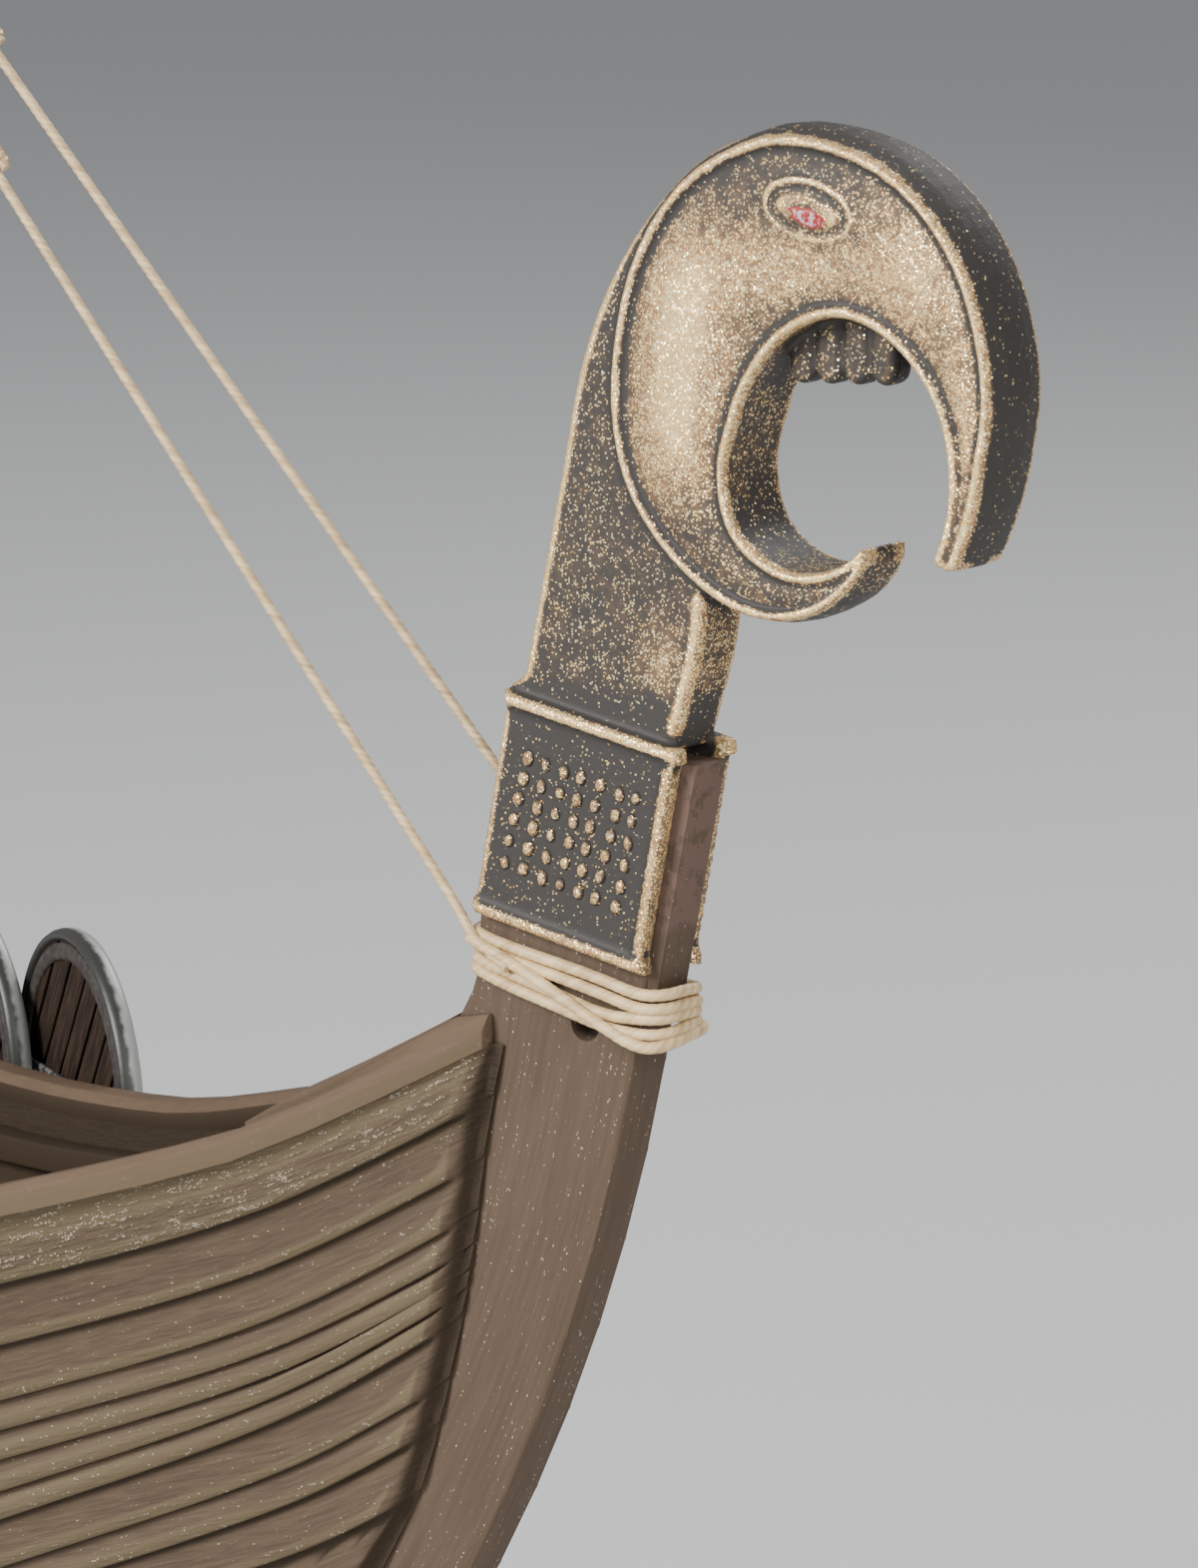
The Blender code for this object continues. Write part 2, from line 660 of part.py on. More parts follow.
def make_breasthook():
    """The crowned cap between the rails, whose underside stays clear of the stem's sloping shoulder."""
    (aft_high, up_high), (aft_low, up_low) = SHOULDER
    sections = []
    for step in range(BREASTHOOK_STEPS + 1):
        aft = BREASTHOOK_START + (BREASTHOOK_END - BREASTHOOK_START) * step / BREASTHOOK_STEPS
        top = sheer(aft)
        wide = rail_inner(aft) - GAP
        low = top - BREASTHOOK_THICK
        if aft < aft_low:
            low = max(low, up_high + (up_low - up_high) * (aft - aft_high) / (aft_low - aft_high) + GAP)
        cap = [(aft, wide * share, top + crown(aft, wide * share)) for share in CAP_SHARES]
        sections.append([(aft, -wide, low)] + cap + [(aft, wide, low)])
    return finish(loft("breasthook", sections), "rail")


def head_place(edge, share):
    """(aft, up) on one edge of the C: share 0 is the beak's end and 1 the jaw's."""
    first, last = edge[0][0], edge[-1][0]
    angle = first + (last - first) * share
    radius = through(edge, angle)
    a = math.radians(angle)
    return (MOUTH_CENTRE[0] - radius * math.cos(a), MOUTH_CENTRE[1] + radius * math.sin(a))


def head_face(width, along):
    """How far out the face stands at a distance from the C's outer edge, where it is so wide."""
    rim = min(RIM_WIDE, 0.4 * width)
    low = HEAD_HALF - RIM_TALL * min(1.0, width / 2.5)
    t = (along - rim) / (width - 2 * rim)
    return low + CROWN * min(1.0, width / CROWN_WIDTH) * math.sin(math.pi * min(max(t, 0.0), 1.0))


def head_section(outer, mouth, drop):
    """A slice across the C, as (aft, y, up): up the outer wall, over a rim, the crowned face and the other
    rim, and down the mouth's wall. A drop lowers the face towards the C's tips."""
    width = math.dist(outer, mouth)
    rim = min(RIM_WIDE, 0.4 * width)
    ease = RIM_EASE * rim / RIM_WIDE
    bead = [(0.0, HEAD_HALF - ease), (0.15 * rim, HEAD_HALF - 0.29 * ease), (0.5 * rim, HEAD_HALF),
            (0.85 * rim, HEAD_HALF - 0.29 * ease), (rim, head_face(width, rim))]
    face = [rim + (width - 2 * rim) * share for share in FACE_SHARES]
    bulge = min(1.0, width / CROWN_WIDTH * 2)
    profile = [(-out * bulge, y) for out, y in WALL_BULGE]
    profile += bead + [(along, head_face(width, along)) for along in face]
    profile += [(width - along, y) for along, y in bead[::-1]] + [(width, 0.0)]
    points = []
    for along, y in profile:
        t = along / width
        points.append((outer[0] + (mouth[0] - outer[0]) * t, max(y - drop, 0.0),
                       outer[1] + (mouth[1] - outer[1]) * t))
    return points


def head_taper(share):
    """How much thinner than elsewhere each half is at a place along the C."""
    beak = max(1 - share / BEAK_TAPER[0], 0.0)
    jaw = max(1 - (1 - share) / JAW_TAPER[0], 0.0)
    return BEAK_TAPER[1] * beak ** 1.5 + JAW_TAPER[1] * jaw ** 1.5


def head_tip(end, near_end, inwards):
    """Slices that close one tip of the C with a round end."""
    outer, mouth = (head_place(edge, end) for edge in (HEAD_EDGE, MOUTH_EDGE))
    near_outer, near_mouth = (head_place(edge, near_end) for edge in (HEAD_EDGE, MOUTH_EDGE))
    middle = [(a + b) / 2 for a, b in zip(outer, mouth)]
    near_middle = [(a + b) / 2 for a, b in zip(near_outer, near_mouth)]
    run = math.dist(middle, near_middle)
    ahead = [(a - b) / run for a, b in zip(middle, near_middle)]
    half = math.dist(outer, mouth) / 2
    sections = []
    for angle in TIP_ANGLES:
        a = math.radians(angle)
        reach = half * TIP_BULGE * math.sin(a)
        across = [(p - q) / 2 * math.cos(a) for p, q in zip(outer, mouth)]
        tip_outer = [m + c + d * reach for m, c, d in zip(middle, across, ahead)]
        tip_mouth = [m - c + d * reach for m, c, d in zip(middle, across, ahead)]
        sections.append(head_section(tip_outer, tip_mouth, head_taper(end) + TIP_DROP * (1 - math.cos(a))))
    return sections[::-1] if inwards else sections


def make_head():
    """The head of the starboard half: slices from the beak's tip round to the jaw's."""
    sections = head_tip(0.0, 0.02, True)
    for step in range(HEAD_STEPS + 1):
        share = step / HEAD_STEPS
        outer, mouth = (head_place(edge, share) for edge in (HEAD_EDGE, MOUTH_EDGE))
        sections.append(head_section(outer, mouth, head_taper(share)))
    sections += head_tip(1.0, 0.98, False)
    return loft("head", [[(aft, -y, up) for aft, y, up in section] for section in sections])


def make_eye():
    """A raised ring round a boss, standing on the head's crowned face."""
    level = HEAD_HALF - RIM_TALL + CROWN * EYE_CROWN_SHARE
    last = 360 - 360 / (EYE_STEPS + 1)
    sections = []
    for half_long, half_tall, proud in EYE_ROWS:
        ring = ellipse(EYE_CENTRE, (half_long, half_tall), 0, last, EYE_STEPS, EYE_TILT)
        sections.append([(aft, -level - proud, up) for aft, up in ring])
    return loft("eye", sections)


def make_teeth():
    """The band in the mouth's roof and its round teeth."""
    first = TOOTH_FIRST + TOOTH_PITCH * 0.5
    last = TOOTH_FIRST - TOOTH_PITCH * (TOOTH_COUNT - 0.5)
    band = [(first, TOOTH_BAND), (first, TOOTH_ROOT), (last, TOOTH_ROOT), (last, TOOTH_BAND)]
    solids = [plate("tooth_band", band, -SEAM, -TOOTH_BAND_HALF)]
    half = TOOTH_PITCH * TOOTH_FILL
    for tooth in range(TOOTH_COUNT):
        centre = TOOTH_FIRST - TOOTH_PITCH * tooth
        tip = TOOTH_TIP + TOOTH_RISE * tooth
        outline = [(centre - half, TOOTH_ROOT - TOOTH_SINK), (centre + half, TOOTH_ROOT - TOOTH_SINK)]
        outline += ellipse((centre, tip + half), (half, half), 180, 360, 8)
        solids.append(eased_plate("tooth", outline, -SEAM, -TOOTH_HALF, TOOTH_EASE))
    return solids


def make_collar(lead):
    """The collar's block, its two round ribs and its raised front edge, which is so much farther forward."""
    inside = -TONGUE_HALF - GAP / 2
    corners = [(aft - lead if aft < COLLAR_MIDDLE else aft, up) for aft, up in COLLAR_CORNERS]
    edge = [(aft - lead, up) for aft, up in COLLAR_EDGE]
    solids = [eased_plate("collar", corners, inside, -COLLAR_HALF, COLLAR_EASE)]
    for (aft_a, up_a), (aft_b, up_b) in COLLAR_RIBS:
        aft_b -= lead
        tilt = math.atan2(up_b - up_a, aft_a - aft_b)
        drop = (RIB_RADIUS * math.sin(tilt), RIB_RADIUS * math.cos(tilt))
        outline = [(aft_a - drop[0], up_a + drop[1]), (aft_b - drop[0], up_b + drop[1]),
                   (aft_b + drop[0], up_b - drop[1]), (aft_a + drop[0], up_a - drop[1])]
        near, far = -TONGUE_HALF - RIB_SINK, -COLLAR_HALF - RIB_PROUD
        solids.append(eased_plate("rib", outline, near, far, RIB_EASE))
    solids.append(plate("collar_edge", edge, COLLAR_EDGE_SINK - COLLAR_HALF, -COLLAR_HALF - COLLAR_EDGE_TALL))
    return solids


def make_figurehead(name, hand):
    """One half of the figurehead: head, neck and collar, with the ribs, rims, eye and teeth of its mould.
    Both are made on the starboard side, and the port one is mirrored."""
    outline = smooth_path(NECK_BACK, NECK_BACK_STEPS) + smooth_path(NECK_FRONT, NECK_FRONT_STEPS)
    neck = eased_plate("neck", outline, -SEAM, -NECK_HALF, NECK_EASE)
    collar = make_collar(COLLAR_LEAD[hand])
    half = combine(collar[0], collar[1:] + [neck, make_head(), make_eye()] + make_teeth(), "UNION")
    half.name = name
    if hand > 0:
        mirror_across(half)
    return finish(half, "head", roughness=0.5)


def make_shield(name, hand, aft):
    """A round shield with a raised rim and a boss, turned from the side's line by the overlap."""
    slope = half_breadth(aft + 0.5) - half_breadth(aft - 0.5)
    normal_turn = math.atan(slope) + math.radians(SHIELD_TWIST)
    centre = place(aft - slope * SHIELD_OFFSET * SHIELD_SLIDE, hand * (half_breadth(aft) + SHIELD_OFFSET),
                   sheer(aft) - SHIELD_DROP)
    shoulder, shoulder_out = SHIELD_BOSS_SHOULDER
    half = SHIELD_THICK / 2
    rim_start = SHIELD_RADIUS - SHIELD_RIM_WIDE
    profile = [(0.0, -half), (rim_start, -half), (rim_start, -half - SHIELD_RIM_TALL),
               (SHIELD_RADIUS, -half - SHIELD_RIM_TALL), (SHIELD_RADIUS, half + SHIELD_RIM_TALL),
               (rim_start, half + SHIELD_RIM_TALL), (rim_start, half), (SHIELD_BOSS_RADIUS, half),
               (SHIELD_BOSS_RADIUS * shoulder, half + SHIELD_BOSS_TALL * shoulder_out),
               (0.0, half + SHIELD_BOSS_TALL)]
    sides = SHIELD_SIDES
    vertices = []
    for radius, out in profile:
        ring = 1 if radius == 0.0 else sides
        for i in range(ring):
            a = 2 * math.pi * i / sides
            vertices.append((radius * MM * math.cos(a), hand * out * MM, radius * MM * math.sin(a)))
    faces = []
    first = 1
    for i in range(sides):
        faces.append((0, first + i, first + (i + 1) % sides))
    for row in range(len(profile) - 3):
        a = first + row * sides
        b = a + sides
        for i in range(sides):
            j = (i + 1) % sides
            faces.append((a + i, b + i, b + j, a + j))
    last = first + (len(profile) - 3) * sides
    for i in range(sides):
        faces.append((last + i, len(vertices) - 1, last + (i + 1) % sides))
    shield = mesh_object(name, vertices, faces)
    shield.location = centre
    shield.rotation_euler = (0.0, 0.0, -hand * normal_turn)
    return finish(shield, "shield_a")


def make_lashing():
    """The thread wound round the stem under the collar, as one sleeve."""
    def ring(edge, out):
        back_up, front_up = LASHING_BACK_UP[edge], LASHING_FRONT_UP[edge]
        back = through(LASHED_BACK, back_up) + out
        stem_front = ARC_AFT - math.sqrt(STEM_RADIUS ** 2 - (ARC_UP - front_up) ** 2)
        front = stem_front - out - LASHING_FRONT_OUT[edge]
        side_out = STEM_HALF + out
        corner = out * LASHING_CORNER[0] + LASHING_CORNER[1]
        return [(back, side_out - corner, back_up), (back - corner, side_out, back_up),
                (front + corner, side_out, front_up), (front, side_out - corner, front_up),
                (front, -side_out + corner, front_up), (front + corner, -side_out, front_up),
                (back - corner, -side_out, back_up), (back, -side_out + corner, back_up)]

    far_out = LASHING_CLEAR + THREAD * LASHING_THICK
    loops = [ring(0, LASHING_CLEAR), ring(0, far_out), ring(1, far_out), ring(1, LASHING_CLEAR)]
    count = len(loops[0])
    vertices = [place(*point) for loop in loops for point in loop]
    faces = []
    for i in range(len(loops)):
        for j in range(count):
            k = (j + 1) % count
            a = i * count
            b = ((i + 1) % len(loops)) * count
            faces.append((a + j, a + k, b + k, b + j))
    return finish(mesh_object("lashing", vertices, faces), "thread")


def make_stay(name, ends):
    """A taut stay, from the lashing up and aft to the eye that its free end is turned back in."""
    start, end = (np.array(place(*point)) for point in ends)
    ahead = (end - start) / np.linalg.norm(end - start)
    aside = np.cross(ahead, (0.0, 1.0, 0.0))
    points = [start + (end - start) * t for t in np.linspace(0, 1, STAY_STEPS)]
    middle = end + (ahead * EYE_REACH + aside * STAY_PITCH / 2) * MM
    for turn in np.linspace(*EYE_SWEEP, EYE_TURNS):
        a = math.radians(turn)
        out = ahead * math.sin(a) * EYE_LONG - aside * math.cos(a) * EYE_HALF
        points.append(middle + out * MM * (1 + EYE_NARROW * math.sin(a)))
    points.append(end + aside * STAY_PITCH * MM)
    points.append(end + (aside * STAY_PITCH - ahead * EYE_TAIL) * MM)
    curve = bpy.data.curves.new(name, "CURVE")
    curve.dimensions = "3D"
    curve.bevel_depth = STAY / 2 * MM
    curve.bevel_resolution = 2
    curve.use_fill_caps = True
    spline = curve.splines.new("POLY")
    spline.points.add(len(points) - 1)
    for point, co in zip(spline.points, points):
        point.co = (*co, 1.0)
    obj = bpy.data.objects.new(name, curve)
    bpy.context.collection.objects.link(obj)
    return finish(obj, "thread")


def main():
    for obj in list(bpy.data.objects):
        bpy.data.objects.remove(obj)
    make_stem()
    for hand, label in ((-1, "starboard"), (1, "port")):
        make_hull("hull_" + label, hand)
        make_rail("rail_" + label, hand)
        make_stringer("stringer_" + label, hand)
        make_figurehead("figurehead_" + label, hand)
        for index, aft in enumerate(SHIELD_PLACES, 1):
            make_shield("shield_%s_%d" % (label, index), hand, aft)
    make_deck()
    for index, aft in enumerate(BEAM_PLACES, 1):
        make_beam(index, aft)
    make_breasthook()
    make_lashing()
    make_stay("stay_starboard", STAY_STARBOARD)
    make_stay("stay_port", STAY_PORT)


main()
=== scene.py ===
# %% [markdown]
# # The bow of a model viking ship
# The piece is a close-up of a glued plastic kit at about 1:50: a curled beast's head on a tall stem, the
# planked sides, the far rail with its shields, and a thread lashing with two taut stays.
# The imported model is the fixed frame. Everything below is fitted round it, in metres.

# %% The frame
import bpy
import math
import numpy as np
from mathutils import Matrix, Vector


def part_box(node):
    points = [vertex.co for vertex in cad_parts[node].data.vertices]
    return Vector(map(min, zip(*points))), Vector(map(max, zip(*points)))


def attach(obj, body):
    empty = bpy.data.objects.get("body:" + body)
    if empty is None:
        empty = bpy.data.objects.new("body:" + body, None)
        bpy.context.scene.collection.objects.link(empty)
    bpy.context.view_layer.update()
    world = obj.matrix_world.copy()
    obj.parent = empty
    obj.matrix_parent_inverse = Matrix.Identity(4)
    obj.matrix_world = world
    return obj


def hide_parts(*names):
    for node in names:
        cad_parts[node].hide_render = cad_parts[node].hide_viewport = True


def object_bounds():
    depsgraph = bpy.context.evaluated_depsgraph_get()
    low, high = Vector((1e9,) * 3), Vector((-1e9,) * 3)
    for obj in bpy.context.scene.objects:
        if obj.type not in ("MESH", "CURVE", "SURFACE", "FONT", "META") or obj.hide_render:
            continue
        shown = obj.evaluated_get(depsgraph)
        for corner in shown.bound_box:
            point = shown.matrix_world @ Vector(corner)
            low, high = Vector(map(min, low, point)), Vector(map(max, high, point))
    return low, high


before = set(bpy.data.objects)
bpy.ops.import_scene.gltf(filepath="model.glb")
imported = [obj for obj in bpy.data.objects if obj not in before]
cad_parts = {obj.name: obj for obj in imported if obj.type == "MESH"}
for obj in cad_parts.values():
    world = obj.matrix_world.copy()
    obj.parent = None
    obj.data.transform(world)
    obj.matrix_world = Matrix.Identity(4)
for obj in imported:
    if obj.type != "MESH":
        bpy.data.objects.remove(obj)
cad_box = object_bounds()
MM = 0.001


def linked(name, data):
    """A new object that holds the data, in the scene."""
    made = bpy.data.objects.new(name, data)
    bpy.context.scene.collection.objects.link(made)
    return made


print("nodes:", len(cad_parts))

# %% [markdown]
# ## The ship's own places
# The model maker measures everything from the spot where the rails meet the stem: so far aft, so far to
# port, so far up. One helper turns such a place into the frame's metres, and the sheer, the rail's sweep
# seen from the side, runs through a few heights. Most lengths below are in millimetres, which `MM` turns
# into metres. The studio's, and those well under 0.01, are in metres already.

# %% Places on the ship
LENGTH = 84.0
ARC_AFT = 85.7
ARC_UP = 18.0
ARC_RADIUS = 92.0
RAIL_HEIGHT = 74.709
SIDES = (("starboard", -1), ("port", 1))
SHEER_AFT = (0.0, 5.5, 10.9, 24.4, 42.3, 59.9, 78.0, 84.0)
SHEER_UP = (-0.2, -3.3, -6.0, -10.2, -15.1, -17.3, -18.0, -18.1)


def place(aft, y, up):
    return Vector(((LENGTH - aft) * MM, y * MM, (up + RAIL_HEIGHT) * MM))


def vectors_of(mesh, what):
    """One vector for each vertex of a mesh: "co" is its place and "normal" its normal."""
    flat = np.zeros(len(mesh.vertices) * 3)
    mesh.vertices.foreach_get(what, flat)
    return flat.reshape(-1, 3)


def ship_places(mesh):
    """Every vertex of a mesh as (aft, y, up) in millimetres."""
    spots = vectors_of(mesh, "co") / MM
    return np.column_stack((LENGTH - spots[:, 0], spots[:, 1], spots[:, 2] - RAIL_HEIGHT))


print("rail end at", place(0, 0, 0))

# %% [markdown]
# ## The camera
# The camera stands 400 mm off the bow, to starboard and well above the rail. Its long lens keeps the
# perspective as flat as a product photograph of something this small.

# %% Camera at the photograph's angle
CAMERA_TURN = math.radians(37.0)
CAMERA_TILT = math.radians(11.5)
CAMERA_PLACE = (-238.609, -309.287, 91.163)
PIXELS_TALL = 1570
FOCUS_PIXELS = 8000
SENSOR = 36.0
NEAREST = 10.0

camera_data = bpy.data.cameras.new("camera")
camera_data.sensor_fit = "AUTO"
camera_data.sensor_width = SENSOR
camera_data.lens = SENSOR * FOCUS_PIXELS / PIXELS_TALL
camera_data.clip_start = NEAREST * MM
camera = linked("camera", camera_data)
camera.location = place(*CAMERA_PLACE)
camera.rotation_euler = (math.radians(90.0) - CAMERA_TILT, 0.0, CAMERA_TURN)
bpy.context.scene.camera = camera
print("lens", round(camera_data.lens, 1), "at", camera.location)

# %% [markdown]
# ## The studio
# A plain pale floor lies just under the keel. The key light is a large soft box high on the starboard side,
# which leaves the faces that look forward in shade. A weaker one fills from ahead, and the weakest, high on
# the port side, puts an edge on the far shapes.

# %% Floor and lights
FLOOR_DROP = 0.004
FLOOR_SIZE = 6.0
FLOOR_GREY = (0.62, 0.62, 0.62, 1.0)
FLOOR_ROUGHNESS = 0.9
STUDIO_GREY = (0.52, 0.54, 0.56, 1.0)
STUDIO_STRENGTH = 0.55
MIDDLE = Vector((0.08, 0.0, 0.08))
LIGHTS = (
    ("key", (-0.16, -0.55, 0.40), 0.30, 8.3),
    ("fill", (0.60, -0.25, 0.30), 0.45, 3.3),
    ("rim", (0.05, 0.55, 0.50), 0.30, 2.0),
)

floor_up = cad_box[0][2] - FLOOR_DROP
bpy.ops.mesh.primitive_plane_add(size=FLOOR_SIZE, location=(0.0, 0.0, floor_up))
floor = bpy.context.object
floor.name = "floor"
floor_paint = bpy.data.materials.new("floor_paint")
floor_paint.use_nodes = True
floor_inputs = floor_paint.node_tree.nodes["Principled BSDF"].inputs
floor_inputs["Base Color"].default_value = FLOOR_GREY
floor_inputs["Roughness"].default_value = FLOOR_ROUGHNESS
floor.data.materials.append(floor_paint)

world = bpy.data.worlds.new("studio")
bpy.context.scene.world = world
world.use_nodes = True
world_inputs = world.node_tree.nodes["Background"].inputs
world_inputs["Color"].default_value = STUDIO_GREY
world_inputs["Strength"].default_value = STUDIO_STRENGTH

for name, where, size, power in LIGHTS:
    soft_box = bpy.data.lights.new(name, "AREA")
    soft_box.shape = "SQUARE"
    soft_box.size = size
    soft_box.energy = power
    light = linked(name, soft_box)
    light.location = where
    light.rotation_euler = (MIDDLE - Vector(where)).to_track_quat("-Z", "Y").to_euler()
print("floor at", round(floor_up, 4), "under", len(LIGHTS), "lights")

# %% [markdown]
# ## Working copies
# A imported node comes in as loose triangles. A copy of it is welded, its triangles are paired back into
# quads, and it is then an ordinary mesh that can be bevelled, subdivided or remeshed as by hand.

# %% Welded copies of the frame's nodes
WELD = 0.000005
PAIR_ANGLE = math.radians(25)
PAIR_SHAPE = math.radians(60)


def only(piece):
    """Makes one object the selected and active one."""
    bpy.ops.object.select_all(action="DESELECT")
    piece.select_set(True)
    bpy.context.view_layer.objects.active = piece


def close_mesh():
    """Goes back from edit mode to object mode."""
    bpy.ops.object.mode_set(mode="OBJECT")


def open_whole(piece):
    """Opens a piece in edit mode with all of its mesh selected."""
    only(piece)
    bpy.ops.object.mode_set(mode="EDIT")
    bpy.ops.mesh.select_all(action="SELECT")


def open_chosen(piece, kind, chosen):
    """Opens a piece in edit mode with only the chosen vertices or faces selected."""
    only(piece)
    bpy.ops.object.mode_set(mode="EDIT")
    bpy.ops.mesh.select_mode(type=kind)
    bpy.ops.mesh.select_all(action="DESELECT")
    close_mesh()
    parts = piece.data.vertices if kind == "VERT" else piece.data.polygons
    parts.foreach_set("select", chosen)
    bpy.ops.object.mode_set(mode="EDIT")


def welded_copy(node, name):
    piece = linked(name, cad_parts[node].data.copy())
    piece.data.materials.clear()
    open_whole(piece)
    bpy.ops.mesh.customdata_custom_splitnormals_clear()
    bpy.ops.mesh.remove_doubles(threshold=WELD)
    bpy.ops.mesh.tris_convert_to_quads(face_threshold=PAIR_ANGLE, shape_threshold=PAIR_SHAPE)
    bpy.ops.mesh.normals_make_consistent(inside=False)
    close_mesh()
    return piece


def push(piece, chosen, shift):
    """Moves the chosen vertices by so many millimetres forward, to port and up."""
    open_chosen(piece, "VERT", chosen)
    bpy.ops.transform.translate(value=[step * MM for step in shift])
    close_mesh()


def apply_modifier(piece, kind, **settings):
    only(piece)
    bpy.ops.object.modifier_add(type=kind)
    modifier = piece.modifiers[-1]
    for setting, value in settings.items():
        setattr(modifier, setting, value)
    bpy.ops.object.modifier_apply(modifier=modifier.name)


def bevel(piece, width, segments, angle):
    """Rounds the edges that turn by more than an angle in degrees, to a width in millimetres."""
    apply_modifier(piece, "BEVEL", width=width * MM, segments=segments, limit_method="ANGLE",
                   angle_limit=math.radians(angle))


def joined(pieces, name):
    """Joins pieces into the first of them."""
    bpy.ops.object.select_all(action="DESELECT")
    for piece in pieces:
        piece.select_set(True)
    bpy.context.view_layer.objects.active = pieces[0]
    if len(pieces) > 1:
        bpy.ops.object.join()
    pieces[0].name = name
    return pieces[0]


def settle(piece):
    """Gives a piece's place, turn and size to its mesh."""
    only(piece)
    bpy.ops.object.transform_apply(location=True, rotation=True, scale=True)
    return piece


def shade(piece, angle):
    """Shades a piece smooth, but for the edges that turn by more than an angle in degrees."""
    only(piece)
    bpy.ops.object.shade_smooth_by_angle(angle=math.radians(angle))


def hand_in(piece, paint, slot, *nodes):
    """Paints a finished piece and seats it on the frame, in place of the nodes that it stands for."""
    piece.data.materials.append(paint)
    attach(piece, "root")
    if nodes:
        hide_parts(*nodes)
    print(piece.name, "has", len(piece.data.polygons), "faces")


print("copies are welded within", WELD, "m")

# %% [markdown]
# ## Where paint catches
# A dry brush leaves its metal on what stands proud, and on the timber dark brown is painted into the hollows
# as shade.
# Both follow one measure: how far each point stands out from the surface smoothed around it. It is worked
# out once per mesh and kept as an attribute that the paints read.

# %% How proud each point stands
def stand_out(mesh, rounds):
    """Millimetres that each vertex stands out of its smoothed neighbourhood, hollows being negative."""
    count = len(mesh.vertices)
    spots = vectors_of(mesh, "co") / MM
    ends = np.zeros(len(mesh.edges) * 2, dtype=np.int64)
    mesh.edges.foreach_get("vertices", ends)
    a, b = ends[0::2], ends[1::2]
    neighbours = np.maximum(np.bincount(a, minlength=count) + np.bincount(b, minlength=count), 1)
    smoothed = spots.copy()
    for _ in range(rounds):
        total = np.zeros_like(smoothed)
        for axis in range(3):
            total[:, axis] = np.bincount(a, smoothed[b, axis], count)
            total[:, axis] += np.bincount(b, smoothed[a, axis], count)
        smoothed = 0.5 * smoothed + 0.5 * total / neighbours[:, None]
    return ((spots - smoothed) * vectors_of(mesh, "normal")).sum(axis=1)


def keep_value(piece, name, values):
    attribute = piece.data.attributes.new(name, "FLOAT", "POINT")
    attribute.data.foreach_set("value", np.asarray(values, dtype=np.float32))


def keep_vector(piece, name, values):
    attribute = piece.data.attributes.new(name, "FLOAT_VECTOR", "POINT")
    attribute.data.foreach_set("vector", np.asarray(values, dtype=np.float32).ravel())


def ramp(values, low, high):
    """0 below low, 1 above high, and smooth between."""
    t = np.clip((values - low) / (high - low), 0.0, 1.0)
    return t * t * (3 - 2 * t)


print("halfway up a ramp:", ramp(0.5, 0.0, 1.0))

# %% [markdown]
# ## Mixing paints
# Each paint is a small graph of nodes on one Principled shader. A few helpers keep the graphs readable. Each
# adds one kind of node, and the last one sprinkles flakes: each cell of a Voronoi pattern is one flake, and
# a share says how many of them are there.

# %% Paint helpers
def put(paint, socket, value):
    """Sets a socket, or joins another node's output to it."""
    if isinstance(value, bpy.types.NodeSocket):
        paint.node_tree.links.new(value, socket)
    else:
        socket.default_value = value


def coat(paint, name, value):
    """Sets or feeds one input of the paint's shader."""
    put(paint, paint.node_tree.nodes["Principled BSDF"].inputs[name], value)


def new_paint(name, roughness, gloss=0.5):
    paint = bpy.data.materials.new(name)
    paint.use_nodes = True
    coat(paint, "Roughness", roughness)
    coat(paint, "Specular IOR Level", gloss)
    return paint


def add(paint, kind, output=0, inputs=(), **settings):
    made = paint.node_tree.nodes.new(kind)
    for setting, value in settings.items():
        setattr(made, setting, value)
    for name, value in dict(inputs).items():
        put(paint, made.inputs[name], value)
    return made.outputs[output]


def sums(paint, operation, *values):
    """One step of arithmetic."""
    return add(paint, "ShaderNodeMath", 0, dict(enumerate(values)), operation=operation)


def times(paint, one, other):
    return sums(paint, "MULTIPLY", one, other)


def mix(paint, share, under, over):
    """A share of one colour over another."""
    made = paint.node_tree.nodes.new("ShaderNodeMix")
    made.data_type = "RGBA"
    put(paint, made.inputs[0], share)
    put(paint, made.inputs[6], under)
    put(paint, made.inputs[7], over)
    return made.outputs[2]


def spread(paint, value, low, high):
    """A clamped ramp from 0 at low to 1 at high."""
    return add(paint, "ShaderNodeMapRange", 0, {"Value": value, "From Min": low, "From Max": high},
               clamp=True, interpolation_type="SMOOTHSTEP")


def grainy(paint, where, scale, detail, roughness=0.6):
    """Soft noise, which is finer at a greater scale."""
    return add(paint, "ShaderNodeTexNoise", 0,
               {"Vector": where, "Scale": scale, "Detail": detail, "Roughness": roughness})


def vectors(paint, operation, *values, output=0):
    """One step of arithmetic on vectors."""
    return add(paint, "ShaderNodeVectorMath", output, dict(enumerate(values)), operation=operation)


def stretched(paint, where, factors):
    return vectors(paint, "MULTIPLY", where, factors)


def one_axis(paint, where, axis):
    return add(paint, "ShaderNodeSeparateXYZ", axis, {0: where})


def bumped(paint, height, distance, strength, under=None):
    """A normal that follows a height, over another normal if one is given."""
    inputs = {"Height": height, "Distance": distance, "Strength": strength}
    if under is not None:
        inputs["Normal"] = under
    return add(paint, "ShaderNodeBump", 0, inputs)


def kept(paint, name, vector=False):
    """An attribute of the piece."""
    return add(paint, "ShaderNodeAttribute", 1 if vector else 2, attribute_name=name)


def here(paint):
    return add(paint, "ShaderNodeTexCoord", 3)


